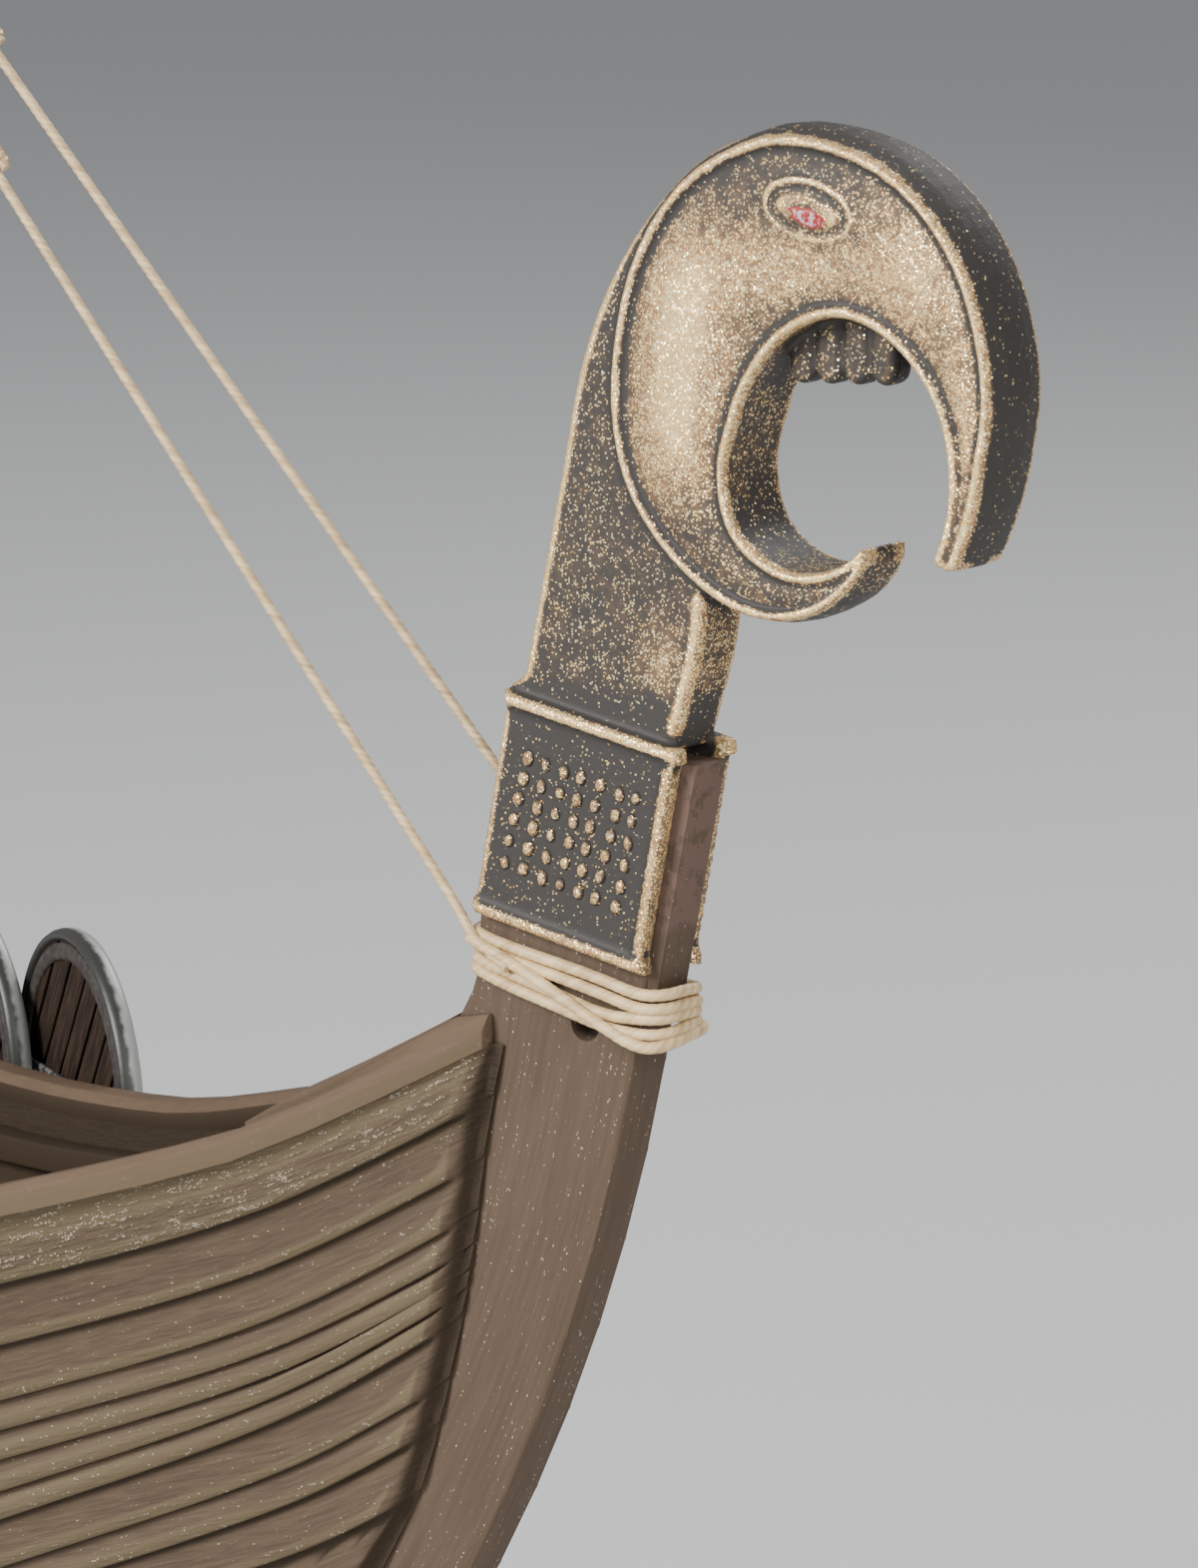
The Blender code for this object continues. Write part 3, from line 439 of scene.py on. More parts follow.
def flakes_of(paint, where, scale, share, size):
    """Round flakes of paint, one to a cell, of which only a share is there, and each cell's random colour."""
    cells = paint.node_tree.nodes.new("ShaderNodeTexVoronoi")
    put(paint, cells.inputs["Vector"], where)
    put(paint, cells.inputs["Scale"], scale)
    chance = add(paint, "ShaderNodeSeparateColor", 0, {"Color": cells.outputs["Color"]})
    there = spread(paint, sums(paint, "SUBTRACT", share, chance), -0.02, 0.06)
    inside = spread(paint, cells.outputs["Distance"], size, size - 0.16)
    return times(paint, there, inside), cells.outputs["Color"]


# %% [markdown]
# ## Bronze paint for the figurehead
# The head is painted dark brown-grey, then dry-brushed with gold. Gold lies almost solid on rims, ribs and
# beads, as fine flakes on the open face, and as a few stray flecks on the neck and the side walls. The
# attribute `gold` says what share of the flakes caught paint, and where it is half the flakes lie in patches.

# %% Bronze paint
DARK = (0.032, 0.028, 0.025, 1.0)
BRONZE = (0.38, 0.21, 0.09, 1.0)
GOLD = (0.92, 0.56, 0.20, 1.0)
CREAM = (1.0, 0.84, 0.47, 1.0)
FLAKE_SCALE = 9800.0
SPECK_SCALE = 5200.0
PATCH_SCALE = 1300.0
FLAKE_SIZE = 0.66
SPECK_SIZE = 0.46
SPECK_SHARE = 0.22
METAL_SHARE = 0.72

bronze = new_paint("bronze_paint", 0.5, 0.3)
spot = here(bronze)
gold_share = kept(bronze, "gold")
patches = spread(bronze, grainy(bronze, spot, PATCH_SCALE, 5.0, 0.7), 0.32, 0.68)
room = times(bronze, gold_share, sums(bronze, "SUBTRACT", 1.2, gold_share))
share_here = sums(bronze, "MULTIPLY_ADD", sums(bronze, "SUBTRACT", patches, 0.5), room, gold_share)
fine_flakes, chances = flakes_of(bronze, spot, FLAKE_SCALE, share_here, FLAKE_SIZE)
speck_share = times(bronze, share_here, SPECK_SHARE)
specks, _ = flakes_of(bronze, spot, SPECK_SCALE, speck_share, SPECK_SIZE)
thick = sums(bronze, "MULTIPLY_ADD", patches, 0.55, 0.4)
solid = times(bronze, spread(bronze, gold_share, 0.72, 1.0), thick)
flake_mask = sums(bronze, "MAXIMUM", solid, sums(bronze, "MAXIMUM", fine_flakes, specks))
under_paint = mix(bronze, spread(bronze, share_here, 0.05, 1.05), DARK, BRONZE)
brightness = add(bronze, "ShaderNodeSeparateColor", 1, {"Color": chances})
leaf = mix(bronze, spread(bronze, brightness, 0.15, 0.75), GOLD, CREAM)
gilded = mix(bronze, flake_mask, under_paint, leaf)
smoother = times(bronze, flake_mask, 0.26)
coat(bronze, "Metallic", times(bronze, flake_mask, METAL_SHARE))
coat(bronze, "Roughness", sums(bronze, "SUBTRACT", 0.58, smoother))
print("gold flakes:", len(bronze.node_tree.nodes), "nodes")

# %% [markdown]
# ## The painted eye
# A ragged oval of pinkish white, with a red edge and red streaks, lies on the boss inside the raised ring. It
# is on the outer face of each half only.

# %% Painted eye
EYE_AFT = -19.8
EYE_UP = 41.95
EYE_SLOPE = 12.0
EYE_LONG = 2.15
EYE_TALL = 0.92
EYE_RAGGED = 0.9
FACE_OUT = 2.2
EYE_WHITE = (0.50, 0.36, 0.36, 1.0)
EYE_RED = (0.34, 0.03, 0.035, 1.0)

eye_place = place(EYE_AFT, 0.0, EYE_UP)
eye_turn = {"Vector": spot, "Center": eye_place, "Angle": math.radians(-EYE_SLOPE)}
from_eye = add(bronze, "ShaderNodeVectorRotate", 0, eye_turn, rotation_type="Y_AXIS")
centred = vectors(bronze, "SUBTRACT", from_eye, eye_place)
oval = stretched(bronze, centred, (2 / (EYE_LONG * MM), 0.0, 2 / (EYE_TALL * MM)))
radius = vectors(bronze, "LENGTH", oval, output=1)
ragged = sums(bronze, "MULTIPLY_ADD", grainy(bronze, spot, 2400.0, 3.0), EYE_RAGGED, radius)
inside_eye = spread(bronze, ragged, 1.45, 1.36)
aside = sums(bronze, "ABSOLUTE", one_axis(bronze, spot, 1))
on_side = spread(bronze, aside, FACE_OUT * MM, (FACE_OUT + 0.1) * MM)
eye_share = times(bronze, inside_eye, on_side)
streaks = spread(bronze, grainy(bronze, spot, 3600.0, 2.0), 0.50, 0.58)
red_share = sums(bronze, "MAXIMUM", streaks, spread(bronze, ragged, 1.12, 1.3))
eye_tone = mix(bronze, red_share, EYE_WHITE, EYE_RED)
coat(bronze, "Base Color", mix(bronze, eye_share, gilded, eye_tone))
print("eye at", eye_place)

# %% [markdown]
# ## Skin and glints
# The dried paint is a little rough, and each flake stands proud of it. Each flake also lies at its own small
# tilt, so some of them glint and others stay dull.

# %% Skin and glints
FLAKE_TILT = 0.75
SKIN_SCALE = 3200.0

rough_skin = bumped(bronze, grainy(bronze, spot, SKIN_SCALE, 4.0), 0.00005, 0.5)
skin = bumped(bronze, flake_mask, 0.00002, 0.6, rough_skin)
tilt = vectors(bronze, "SUBTRACT", chances, (0.5, 0.5, 0.5))
tilt = stretched(bronze, tilt, (FLAKE_TILT, FLAKE_TILT, FLAKE_TILT))
tilt = stretched(bronze, tilt, flake_mask)
glint = vectors(bronze, "NORMALIZE", vectors(bronze, "ADD", skin, tilt))
coat(bronze, "Normal", glint)
print("bronze paint:", len(bronze.node_tree.nodes), "nodes")

# %% [markdown]
# ## The figurehead's halves
# Each half is one moulding. The welded copy is remeshed into a fine even skin and relaxed, which gives every
# edge the small radius that moulded and painted plastic has. Its gold is strongest where it stands proud.
# The flat parting faces are first pushed a little into each other, as glue and paint close that seam.

# %% Two moulded halves
SKIN = 0.00014
PARTING = 0.12
PARTING_PUSH = 0.2
HEAD_FACE = 2.4
HEAD_LOW = 21.5
NECK_LOW = 17.0
TOOTH_LOW = 33.0
STROKES = (
    (0.60, (-12.4, 37.0), (2.6, 3.4)),
    (0.62, (-11.8, 31.5), (2.3, 3.8)),
    (0.45, (-18.1, 39.3), (5.0, 1.7)),
    (0.50, (-25.9, 39.9), (2.8, 3.2)),
    (0.48, (-28.5, 32.6), (1.5, 4.5)),
)
BARE = (
    (0.10, (-12.8, 26.0), (2.5, 2.5)),
    (0.12, (-13.3, 43.6), (3.0, 1.6)),
    (0.12, (-19.2, 44.9), (3.0, 1.5)),
)
NECK_STROKE = (0.36, (-10.8, 18.8), (1.2, 3.2))
COLLAR_TOP = NECK_LOW - 2.2
MOUTH_CENTRE = (-21.3, 31.0)
MOUTH_REACH = 7.6
HEAD_ROUNDS = 26


def strokes_on(spots, strokes):
    """How much paint broad brush strokes leave on each place. Each has a strength, a centre and a reach."""
    total = 0.0
    for much, centre, reach in strokes:
        aft, up = (spots[:, 0] - centre[0]) / reach[0], (spots[:, 2] - centre[1]) / reach[1]
        total = total + much * np.exp(-aft ** 2 - up ** 2)
    return total


def gold_on(piece):
    """The share of gold at each point: on what stands proud, and in broad strokes on the open face."""
    proud = stand_out(piece.data, HEAD_ROUNDS)
    normals = vectors_of(piece.data, "normal")
    spots = ship_places(piece.data)
    facing = ramp(np.abs(normals[:, 1]), 0.75, 0.95)
    out, up = np.abs(spots[:, 1]), spots[:, 2]
    on_face = facing * ramp(out, HEAD_FACE - 0.5, HEAD_FACE - 0.2) * ramp(up, HEAD_LOW, HEAD_LOW + 2.5)
    strokes = 0.24 + strokes_on(spots, STROKES) - strokes_on(spots, BARE)
    # The teeth, the mouth's inner wall and the neck each have less.
    teeth = (1 - ramp(out, 0.8, 1.2)) * ramp(up, TOOTH_LOW, TOOTH_LOW + 0.5)
    from_mouth = np.hypot(spots[:, 0] - MOUTH_CENTRE[0], up - MOUTH_CENTRE[1])
    throat = (1 - facing) * (1 - ramp(from_mouth, MOUTH_REACH - 0.8, MOUTH_REACH)) * (1 - teeth)
    above_collar = ramp(up, NECK_LOW, NECK_LOW + 1.5)
    neck = above_collar * (1 - ramp(up, HEAD_LOW, HEAD_LOW + 1.0))
    neck_front = neck * ramp(normals[:, 0], 0.3, 0.7)
    on_neck = facing * (1 - on_face) * (0.02 + 0.11 * above_collar)
    on_neck += facing * neck * strokes_on(spots, (NECK_STROKE,))
    # What stands proud has most of all, and hollows have very little.
    collar = 1 - ramp(up, COLLAR_TOP - 1.0, COLLAR_TOP)
    crest = ramp(proud, 0.008, 0.05) * ramp(out, 0.45, 0.9) * (1 - 0.8 * teeth) * (1 - 0.22 * collar)
    hollow = ramp(-proud, 0.01, 0.06)
    flat = 0.03 + 0.16 * throat + 0.3 * neck_front + on_neck + on_face * np.clip(strokes, 0.12, 0.92)
    gold = np.maximum(flat, crest * (0.7 + 0.3 * facing))
    return np.clip(gold * (1 - 0.85 * hollow), 0.0, 1.0)


for side, hand in SIDES:
    half = welded_copy("figurehead_" + side, "moulding_" + side)
    push(half, np.abs(ship_places(half.data)[:, 1]) < PARTING, (0.0, -hand * PARTING_PUSH, 0.0))
    apply_modifier(half, "REMESH", mode="VOXEL", voxel_size=SKIN, use_smooth_shade=True)
    apply_modifier(half, "SMOOTH", factor=0.5, iterations=5)
    shade(half, 180.0)
    keep_value(half, "gold", gold_on(half))
    hand_in(half, bronze, "bronze_paint", "figurehead_" + side)

# %% [markdown]
# ## Beads on the collar
# Seven columns and six rows of small raised ovals cover each side of the collar. They were cut by hand into
# the mould, so no two are quite the same. One ball is copied, squeezed, turned and nudged for each.

# %% Forty-two beads a side
BEAD_COLUMNS = 7
BEAD_ROWS = 6
BEAD_CORNERS = ((-2.75, 13.70), (-9.47, 12.41), (-1.36, 8.22), (-8.12, 6.88))
BEAD_OUT = 2.1
BEAD_SIZES = ((0.30, 0.04), (0.24, 0.04), (0.40, 0.05))
BEAD_NUDGE = 0.09


def wobble(number, turn):
    """A small fixed irregularity between -1 and 1."""
    return math.sin(number * 12.9898 + turn * 78.233) * math.cos(number * 4.1414 + turn * 3.7)


def between(first, last, share):
    return first * (1 - share) + last * share


def bead_place(row, column, number):
    """How far aft and up a bead lies, between the collar's four corner beads."""
    s, t = column / (BEAD_COLUMNS - 1), row / (BEAD_ROWS - 1)
    top_back, top_front, foot_back, foot_front = BEAD_CORNERS
    return [between(between(top_back[k], top_front[k], s), between(foot_back[k], foot_front[k], s), t)
            + BEAD_NUDGE * wobble(number, k + 1) for k in (0, 1)]


bpy.ops.mesh.primitive_ico_sphere_add(subdivisions=2, radius=1.0)
ball = bpy.context.object
for side, hand in SIDES:
    made = []
    for number in range(BEAD_ROWS * BEAD_COLUMNS):
        aft, up = bead_place(number // BEAD_COLUMNS, number % BEAD_COLUMNS, number)
        bead = linked("bead", ball.data.copy())
        bead.location = place(aft, hand * BEAD_OUT, up)
        bead.rotation_euler = (0.0, 0.2 + 0.25 * wobble(number, 3), 0.0)
        bead.scale = [(size + change * wobble(number, turn)) * MM
                      for turn, (size, change) in enumerate(BEAD_SIZES, 4)]
        made.append(bead)
    beads = settle(joined(made, "collar_beads_" + side))
    shade(beads, 180.0)
    out = np.abs(ship_places(beads.data)[:, 1])
    keep_value(beads, "gold", 0.06 + 0.62 * ramp(out, BEAD_OUT + 0.06, BEAD_OUT + 0.20))
    hand_in(beads, bronze, "bronze_paint")
bpy.data.objects.remove(ball)

# %% [markdown]
# ## Brown paint for planks and stem
# The hull is matt taupe. Its moulded wood grain runs along each plank and up the stem, and pale flecks sit
# on the grain's ridges. Dark brown is painted in as shade in the laps and other hollows, and the planks'
# beaded edges are painted olive, partly as wear and partly as a highlight. The pattern reads an attribute
# that runs along the timber, so the grain bends with it.

# %% Timber paint
TAUPE = (0.066, 0.045, 0.030, 1.0)
TAUPE_PALE = (0.096, 0.066, 0.043, 1.0)
RAIL_BROWN = (0.100, 0.065, 0.042, 1.0)
RAIL_PALE = (0.118, 0.078, 0.051, 1.0)
DECK_BROWN = (0.110, 0.070, 0.045, 1.0)
DECK_PALE = (0.16, 0.108, 0.072, 1.0)
OLIVE = (0.120, 0.090, 0.053, 1.0)
# Painted shade: the dark brown of laps, grooves, seams, undersides and inner faces.
SHADE_BROWN = (0.032, 0.021, 0.012, 1.0)
FLECK = (0.50, 0.42, 0.32, 1.0)
BROAD_SCALE = 700.0
FINE_SCALE = 3800.0
FLECK_SCALE = 10500.0
FLECK_SIZE = 0.52


def timber_paint(name, base, pale, flecked, relief, along=None):
    """Painted timber whose grain follows the piece's own attribute, or a vector worked out in the paint."""
    paint = new_paint(name, 0.68, 0.16)
    along = along(paint) if along else kept(paint, "grain", vector=True)
    raised = kept(paint, "raised")
    texture = kept(paint, "texture")
    broad = grainy(paint, stretched(paint, along, (0.16, 1.0, 1.0)), BROAD_SCALE, 3.0)
    fine = grainy(paint, stretched(paint, along, (0.05, 1.0, 1.0)), FINE_SCALE, 4.0)
    streaks = times(paint, spread(paint, broad, 0.35, 0.68), 0.5)
    streaks = sums(paint, "MULTIPLY_ADD", spread(paint, fine, 0.36, 0.62), 0.6, streaks)
    tone = mix(paint, streaks, base, pale)
    # Olive on proud edges, partly worn paint and partly a painted highlight, and painted shade in dark brown
    # in the hollows and wherever a piece sets its raised attribute below zero.
    bead = spread(paint, raised, 0.004, 0.036)
    olive_wear_and_highlight = mix(paint, sums(paint, "MAXIMUM", bead, times(paint, texture, 0.3)), tone, OLIVE)
    hollow = spread(paint, raised, -0.03, -0.17)
    shaded_tone = mix(paint, hollow, olive_wear_and_highlight, SHADE_BROWN)
    # Flecks on the ridges of the grain, more on proud edges as painted glints, and fewer in the hollows and
    # in the painted shade.
    share = sums(paint, "MULTIPLY_ADD", bead, 0.22, texture)
    share = times(paint, share, spread(paint, fine, 0.49, 0.60))
    share = sums(paint, "MULTIPLY_ADD", share, flecked, times(paint, hollow, -1.0))
    flecks, _ = flakes_of(paint, stretched(paint, along, (0.7, 1.0, 1.0)), FLECK_SCALE, share, FLECK_SIZE)
    coat(paint, "Base Color", mix(paint, times(paint, flecks, 0.72), shaded_tone, FLECK))
    height = times(paint, fine, sums(paint, "ADD", 0.4, texture))
    height = sums(paint, "ADD", height, times(paint, flecks, 0.15))
    coat(paint, "Normal", bumped(paint, height, relief, 0.8))
    return paint


hull_paint = timber_paint("hull_paint", TAUPE, TAUPE_PALE, 0.62, 0.00028)
rail_paint = timber_paint("rail_paint", RAIL_BROWN, RAIL_PALE, 0.06, 0.00003)
deck_paint = timber_paint("deck_paint", DECK_BROWN, DECK_PALE, 0.10, 0.0001)
print("timber paints:", hull_paint.name, rail_paint.name, deck_paint.name)

# %% [markdown]
# ## Clinker sides
# Each side is one moulding whose planks overlap downwards. The welded copy is subdivided twice, which turns
# the coarse steps into fair curves and rounds the beads. The sawn end and the sharp edges of the laps are
# creased first, so they stay crisp, and the top edge is pushed up a little to meet the rail. The top plank,
# the wale, has the strongest grain.

# %% Planked sides
FLAT_CUT = 0.02
LAP_ANGLE = 48.0
LAP_CREASE = 0.8
WALE_DEPTH = 5.5
RABBET_ANGLE = (15.5, 28.5)
RABBET_RADIUS = (88.7, 92.2)
GROOVE_WIDE = 1.5
BEAD_PROUD = 0.05
CUT_FADE = 7.0
TOP_EDGE = 2.05
SEAM_LIFT = 0.3
PLANK_ROUNDS = 16


def sheer(aft):
    return np.interp(aft, SHEER_AFT, SHEER_UP)


def crease_cut(piece):
    """Joins the sawn end into one face, and creases its outline and the planks' sharp lower edges."""
    spots = ship_places(piece.data)
    at_cut = [all(spots[v][0] > LENGTH - FLAT_CUT for v in face.vertices) for face in piece.data.polygons]
    open_chosen(piece, "FACE", at_cut)
    bpy.ops.mesh.dissolve_faces()
    bpy.ops.transform.edge_crease(value=1.0)
    bpy.ops.mesh.select_mode(type="EDGE")
    bpy.ops.mesh.select_all(action="DESELECT")
    bpy.ops.mesh.edges_select_sharp(sharpness=math.radians(LAP_ANGLE))
    bpy.ops.transform.edge_crease(value=LAP_CREASE)
    close_mesh()


def grain_along_side(piece, wale):
    """Keeps the timber's run and how strong its grain is, at each point."""
    spots = ship_places(piece.data)
    depth = spots[:, 2] - sheer(spots[:, 0])
    keep_vector(piece, "grain", np.column_stack((spots[:, 0], depth, spots[:, 1] * 0.35)) * MM)
    keep_value(piece, "texture", wale * ramp(depth, -WALE_DEPTH, -WALE_DEPTH + 1.2) + 0.1)


def groove_depth(spots):
    """1 at the foot of the groove between the planks' ends and the stem, and 0 a little way aft of it."""
    back, low = ARC_AFT - spots[:, 0], ARC_UP - spots[:, 2]
    rabbet = np.interp(np.degrees(np.arctan2(low, back)), RABBET_ANGLE, RABBET_RADIUS)
    return ramp(np.hypot(back, low) - rabbet, -GROOVE_WIDE, -0.6)


for side, _ in SIDES:
    planking = welded_copy("hull_" + side, "planking_" + side)
    crease_cut(planking)
    edges = ship_places(planking.data)
    push(planking, edges[:, 2] > sheer(edges[:, 0]) - TOP_EDGE, (0.0, 0.0, SEAM_LIFT))
    apply_modifier(planking, "SUBSURF", levels=2, render_levels=2)
    shade(planking, 50.0)
    grain_along_side(planking, 0.9)
    spots = ship_places(planking.data)
    proud = stand_out(planking.data, PLANK_ROUNDS)
    # Painted shade: the groove by the stem and the planking's inner face get a raised value below zero, which
    # the paint darkens. The beads' raised value above zero paints them olive, partly as a highlight.
    inward = ramp(-vectors_of(planking.data, "normal")[:, 1] * np.sign(spots[:, 1]), 0.1, 0.5)
    painted_shade = 0.17 * groove_depth(spots) + 0.3 * inward
    from_cut = LENGTH - spots[:, 0]
    bead = np.minimum(proud, BEAD_PROUD) * ramp(from_cut, 0.5, CUT_FADE)
    keep_value(planking, "raised", bead - painted_shade * ramp(from_cut, 0.2, 1.8))
    hand_in(planking, hull_paint, "hull_paint", "hull_" + side)

# %% [markdown]
# ## Stem and keel
# The stem is one curved timber, sawn from the flat, with softened edges. Its grain follows the curve. The
# paint works that out itself, from the place's angle about the arc's centre and its distance from it.

# %% Stem and keel
def along_arc(paint):
    """The place on the stem as distance along its arc, distance from the arc's centre, and place across."""
    parts = paint.node_tree.nodes.new("ShaderNodeSeparateXYZ")
    put(paint, parts.inputs[0], here(paint))
    forward, across, up = parts.outputs
    back = sums(paint, "ADD", forward, (ARC_AFT - LENGTH) * MM)
    low = sums(paint, "SUBTRACT", (ARC_UP + RAIL_HEIGHT) * MM, up)
    squares = sums(paint, "ADD", sums(paint, "POWER", back, 2.0), sums(paint, "POWER", low, 2.0))
    far = sums(paint, "SQRT", squares)
    run = times(paint, sums(paint, "ARCTAN2", low, back), ARC_RADIUS * MM)
    return add(paint, "ShaderNodeCombineXYZ", 0, {0: run, 1: far, 2: across})


STEM_BROWN = (0.070, 0.047, 0.032, 1.0)
STEM_PALE = (0.089, 0.061, 0.042, 1.0)
stem_paint = timber_paint("stem_paint", STEM_BROWN, STEM_PALE, 0.62, 0.00007, along_arc)

# The tongue that the head's halves clasp wears a pinker coat, worn off in places.
TONGUE_UP = (5.3, 6.3)
TONGUE_PINK = (0.120, 0.075, 0.058, 1.0)

on_tongue = [(up + RAIL_HEIGHT) * MM for up in TONGUE_UP]
coat_up = spread(stem_paint, one_axis(stem_paint, here(stem_paint), 2), *on_tongue)
coat_wear = spread(stem_paint, grainy(stem_paint, here(stem_paint), 900.0, 4.0), 0.38, 0.5)
stem_shader = stem_paint.node_tree.nodes["Principled BSDF"]
stem_tone = stem_shader.inputs["Base Color"].links[0].from_socket
pink_share = times(stem_paint, coat_up, coat_wear)
coat(stem_paint, "Base Color", mix(stem_paint, pink_share, stem_tone, TONGUE_PINK))

stem = welded_copy("stem_and_keel", "stem_timber")
bevel(stem, 0.15, 2, 45.0)
shade(stem, 30.0)
keep_value(stem, "raised", np.zeros(len(stem.data.vertices)))
keep_value(stem, "texture", np.full(len(stem.data.vertices), 0.15))
hand_in(stem, stem_paint, "hull_paint", "stem_and_keel")

# %% [markdown]
# ## Rails, battens and breasthook
# These are smooth moulded strips. Bevelling a welded copy rounds their long edges without changing their
# size, and the paint on them is a little pinker and less grained than the planks'.

# %% Rails and battens
ROUNDED = {"rail_starboard": 0.3, "rail_port": 0.3, "stringer_starboard": 0.2, "stringer_port": 0.2,
           "breasthook": 0.2}

for node, width in ROUNDED.items():
    strip = welded_copy(node, node + "_strip")
    bevel(strip, width, 3, 35.0)
    shade(strip, 35.0)
    grain_along_side(strip, 0.0)
    # Painted shade: the strips' inner undersides, and the battens all over, get a raised value below zero,
    # which the paint darkens.
    normals = vectors_of(strip.data, "normal")
    outward = normals[:, 1] * np.sign(ship_places(strip.data)[:, 1])
    under = -0.7 * outward - 0.7 * normals[:, 2]
    outer_foot = 0.7 * outward - 0.7 * normals[:, 2]
    shaded = 0.2 if node.startswith("stringer") else 0.2 * ramp(under, 0.1, 0.9)
    keep_value(strip, "raised", 0.03 * ramp(outer_foot, 0.1, 0.9) - shaded)
    hand_in(strip, rail_paint, "rail_paint", node)

# %% [markdown]
# ## Foredeck
# The deck is moulded as boards that run fore and aft. The welded copy goes back to triangles, which stay
# flat. The bisect tool cuts it three times along each seam, and the middle line is pushed down into a
# shallow groove.

# %% Deck boards and beams
BOARD_WIDE = 4.2
SEAM_HALF = 0.16
SEAM_DEEP = 0.22
CUT_WITHIN = 0.000001
SEAMS = range(-8, 8)

deck = welded_copy("foredeck", "deck_boards")
open_whole(deck)
bpy.ops.mesh.quads_convert_to_tris()
for number in SEAMS:
    for aside in (-SEAM_HALF, 0.0, SEAM_HALF):
        bpy.ops.mesh.select_all(action="SELECT")
        bpy.ops.mesh.bisect(plane_co=(0.0, ((number + 0.5) * BOARD_WIDE + aside) * MM, 0.0),
                            plane_no=(0.0, 1.0, 0.0), threshold=CUT_WITHIN)
close_mesh()
off_seam = np.abs((ship_places(deck.data)[:, 1] / BOARD_WIDE) % 1.0 - 0.5) * BOARD_WIDE
in_seam = (off_seam < 0.02) & (vectors_of(deck.data, "normal")[:, 2] > 0.3)
push(deck, in_seam, (0.0, 0.0, -SEAM_DEEP))
shade(deck, 20.0)
grain_along_side(deck, 0.0)
# Painted shade: the seam lines get a raised value below zero, which the paint darkens.
keep_value(deck, "raised", np.where(in_seam, -0.2, 0.0))
hand_in(deck, deck_paint, "deck_paint", "foredeck")

for number in (1, 2, 3):
    node = "deck_beam_%d" % number
    beam = welded_copy(node, node + "_timber")
    bevel(beam, 0.2, 2, 45.0)
    shade(beam, 35.0)
    spots = ship_places(beam.data)
    keep_vector(beam, "grain", spots[:, [1, 2, 0]] * MM)
    keep_value(beam, "raised", np.zeros(len(spots)))
    keep_value(beam, "texture", np.full(len(spots), 0.3))
    hand_in(beam, deck_paint, "deck_paint", node)

# %% [markdown]
# ## Shields
# A shield is eight boards held by a metal rim and an iron boss. Each board is cut from a flat disc, and
# a thin web joins them and closes their seams. The boards' dark brown is painted darker as shade, and their
# seams near black as shade. The rim is a flattened ring, dark with pale wear and painted pale on its outward
# half as a highlight, and the boss is half a ball on a flange. A grip and a flat brown hoop lie on the back,
# which is the side that the camera sees. The boards lean, as each shield was glued on a little turned. Each
# frame shield tells where its centre is and which way it faces.

# %% Shield paints
# The boards' own dark brown is painted darker still, as shade on the shields' backs.
SHADED_BOARD_BLACK = (0.014, 0.008, 0.005, 1.0)
SHADED_BOARD_BROWN = (0.038, 0.023, 0.015, 1.0)
SEAM_SHADE_BLACK = (0.004, 0.003, 0.002, 1.0)
RIM_DARK = (0.036, 0.036, 0.032, 1.0)
RIM_PALE = (0.36, 0.37, 0.345, 1.0)
IRON_DARK = (0.05, 0.05, 0.05, 1.0)
IRON_PALE = (0.26, 0.25, 0.24, 1.0)
HOOP_DARK = (0.032, 0.027, 0.024, 1.0)
HOOP_BROWN = (0.060, 0.052, 0.047, 1.0)

board_paint = new_paint("board_paint", 0.75, 0.15)
board_spot = kept(board_paint, "board", vector=True)
board_grain = grainy(board_paint, stretched(board_paint, board_spot, (1.0, 1.0, 0.12)), 2600.0, 4.0)
board_tone = mix(board_paint, spread(board_paint, board_grain, 0.35, 0.7), SHADED_BOARD_BLACK, SHADED_BOARD_BROWN)
# Painted shade: the sunken sides of the boards and the web between them are near black.
board_depth = sums(board_paint, "ABSOLUTE", one_axis(board_paint, board_spot, 1))
in_gap = spread(board_paint, board_depth, 0.00038, 0.00026)
coat(board_paint, "Base Color", mix(board_paint, in_gap, board_tone, SEAM_SHADE_BLACK))
coat(board_paint, "Normal", bumped(board_paint, board_grain, 0.0001, 0.7))


def wear_and_highlight_paint(name, roughness, scale, limits, dark, pale, bump, edge=None):
    """A dark coat that wears pale in patches, and is painted pale as a highlight where a given attribute is
    high.
    """
    paint = new_paint(name, roughness)
    wear = grainy(paint, here(paint), scale, 3.0)
    share = sums(paint, "ADD", kept(paint, edge), times(paint, wear, 0.5)) if edge else wear
    coat(paint, "Base Color", mix(paint, spread(paint, share, *limits), dark, pale))
    coat(paint, "Normal", bumped(paint, wear, *bump))
    return paint


# Painted highlight: the rim is pale on its outward half, over random patches of wear.
rim_metal = wear_and_highlight_paint("rim_metal", 0.42, 1400.0, (0.05, 0.42), RIM_DARK, RIM_PALE, (0.00004, 0.5), "edge")
coat(rim_metal, "Metallic", 0.25)
boss_metal = wear_and_highlight_paint("boss_metal", 0.45, 2500.0, (0.4, 0.7), IRON_DARK, IRON_PALE, (0.00005, 0.6))
coat(boss_metal, "Metallic", 0.5)
hoop_paint = wear_and_highlight_paint("hoop_paint", 0.62, 1800.0, (0.35, 0.7), HOOP_DARK, HOOP_BROWN, (0.00005, 0.6))
coat(hoop_paint, "Specular IOR Level", 0.2)
print("shield paints:", board_paint.name, rim_metal.name, boss_metal.name, hoop_paint.name)

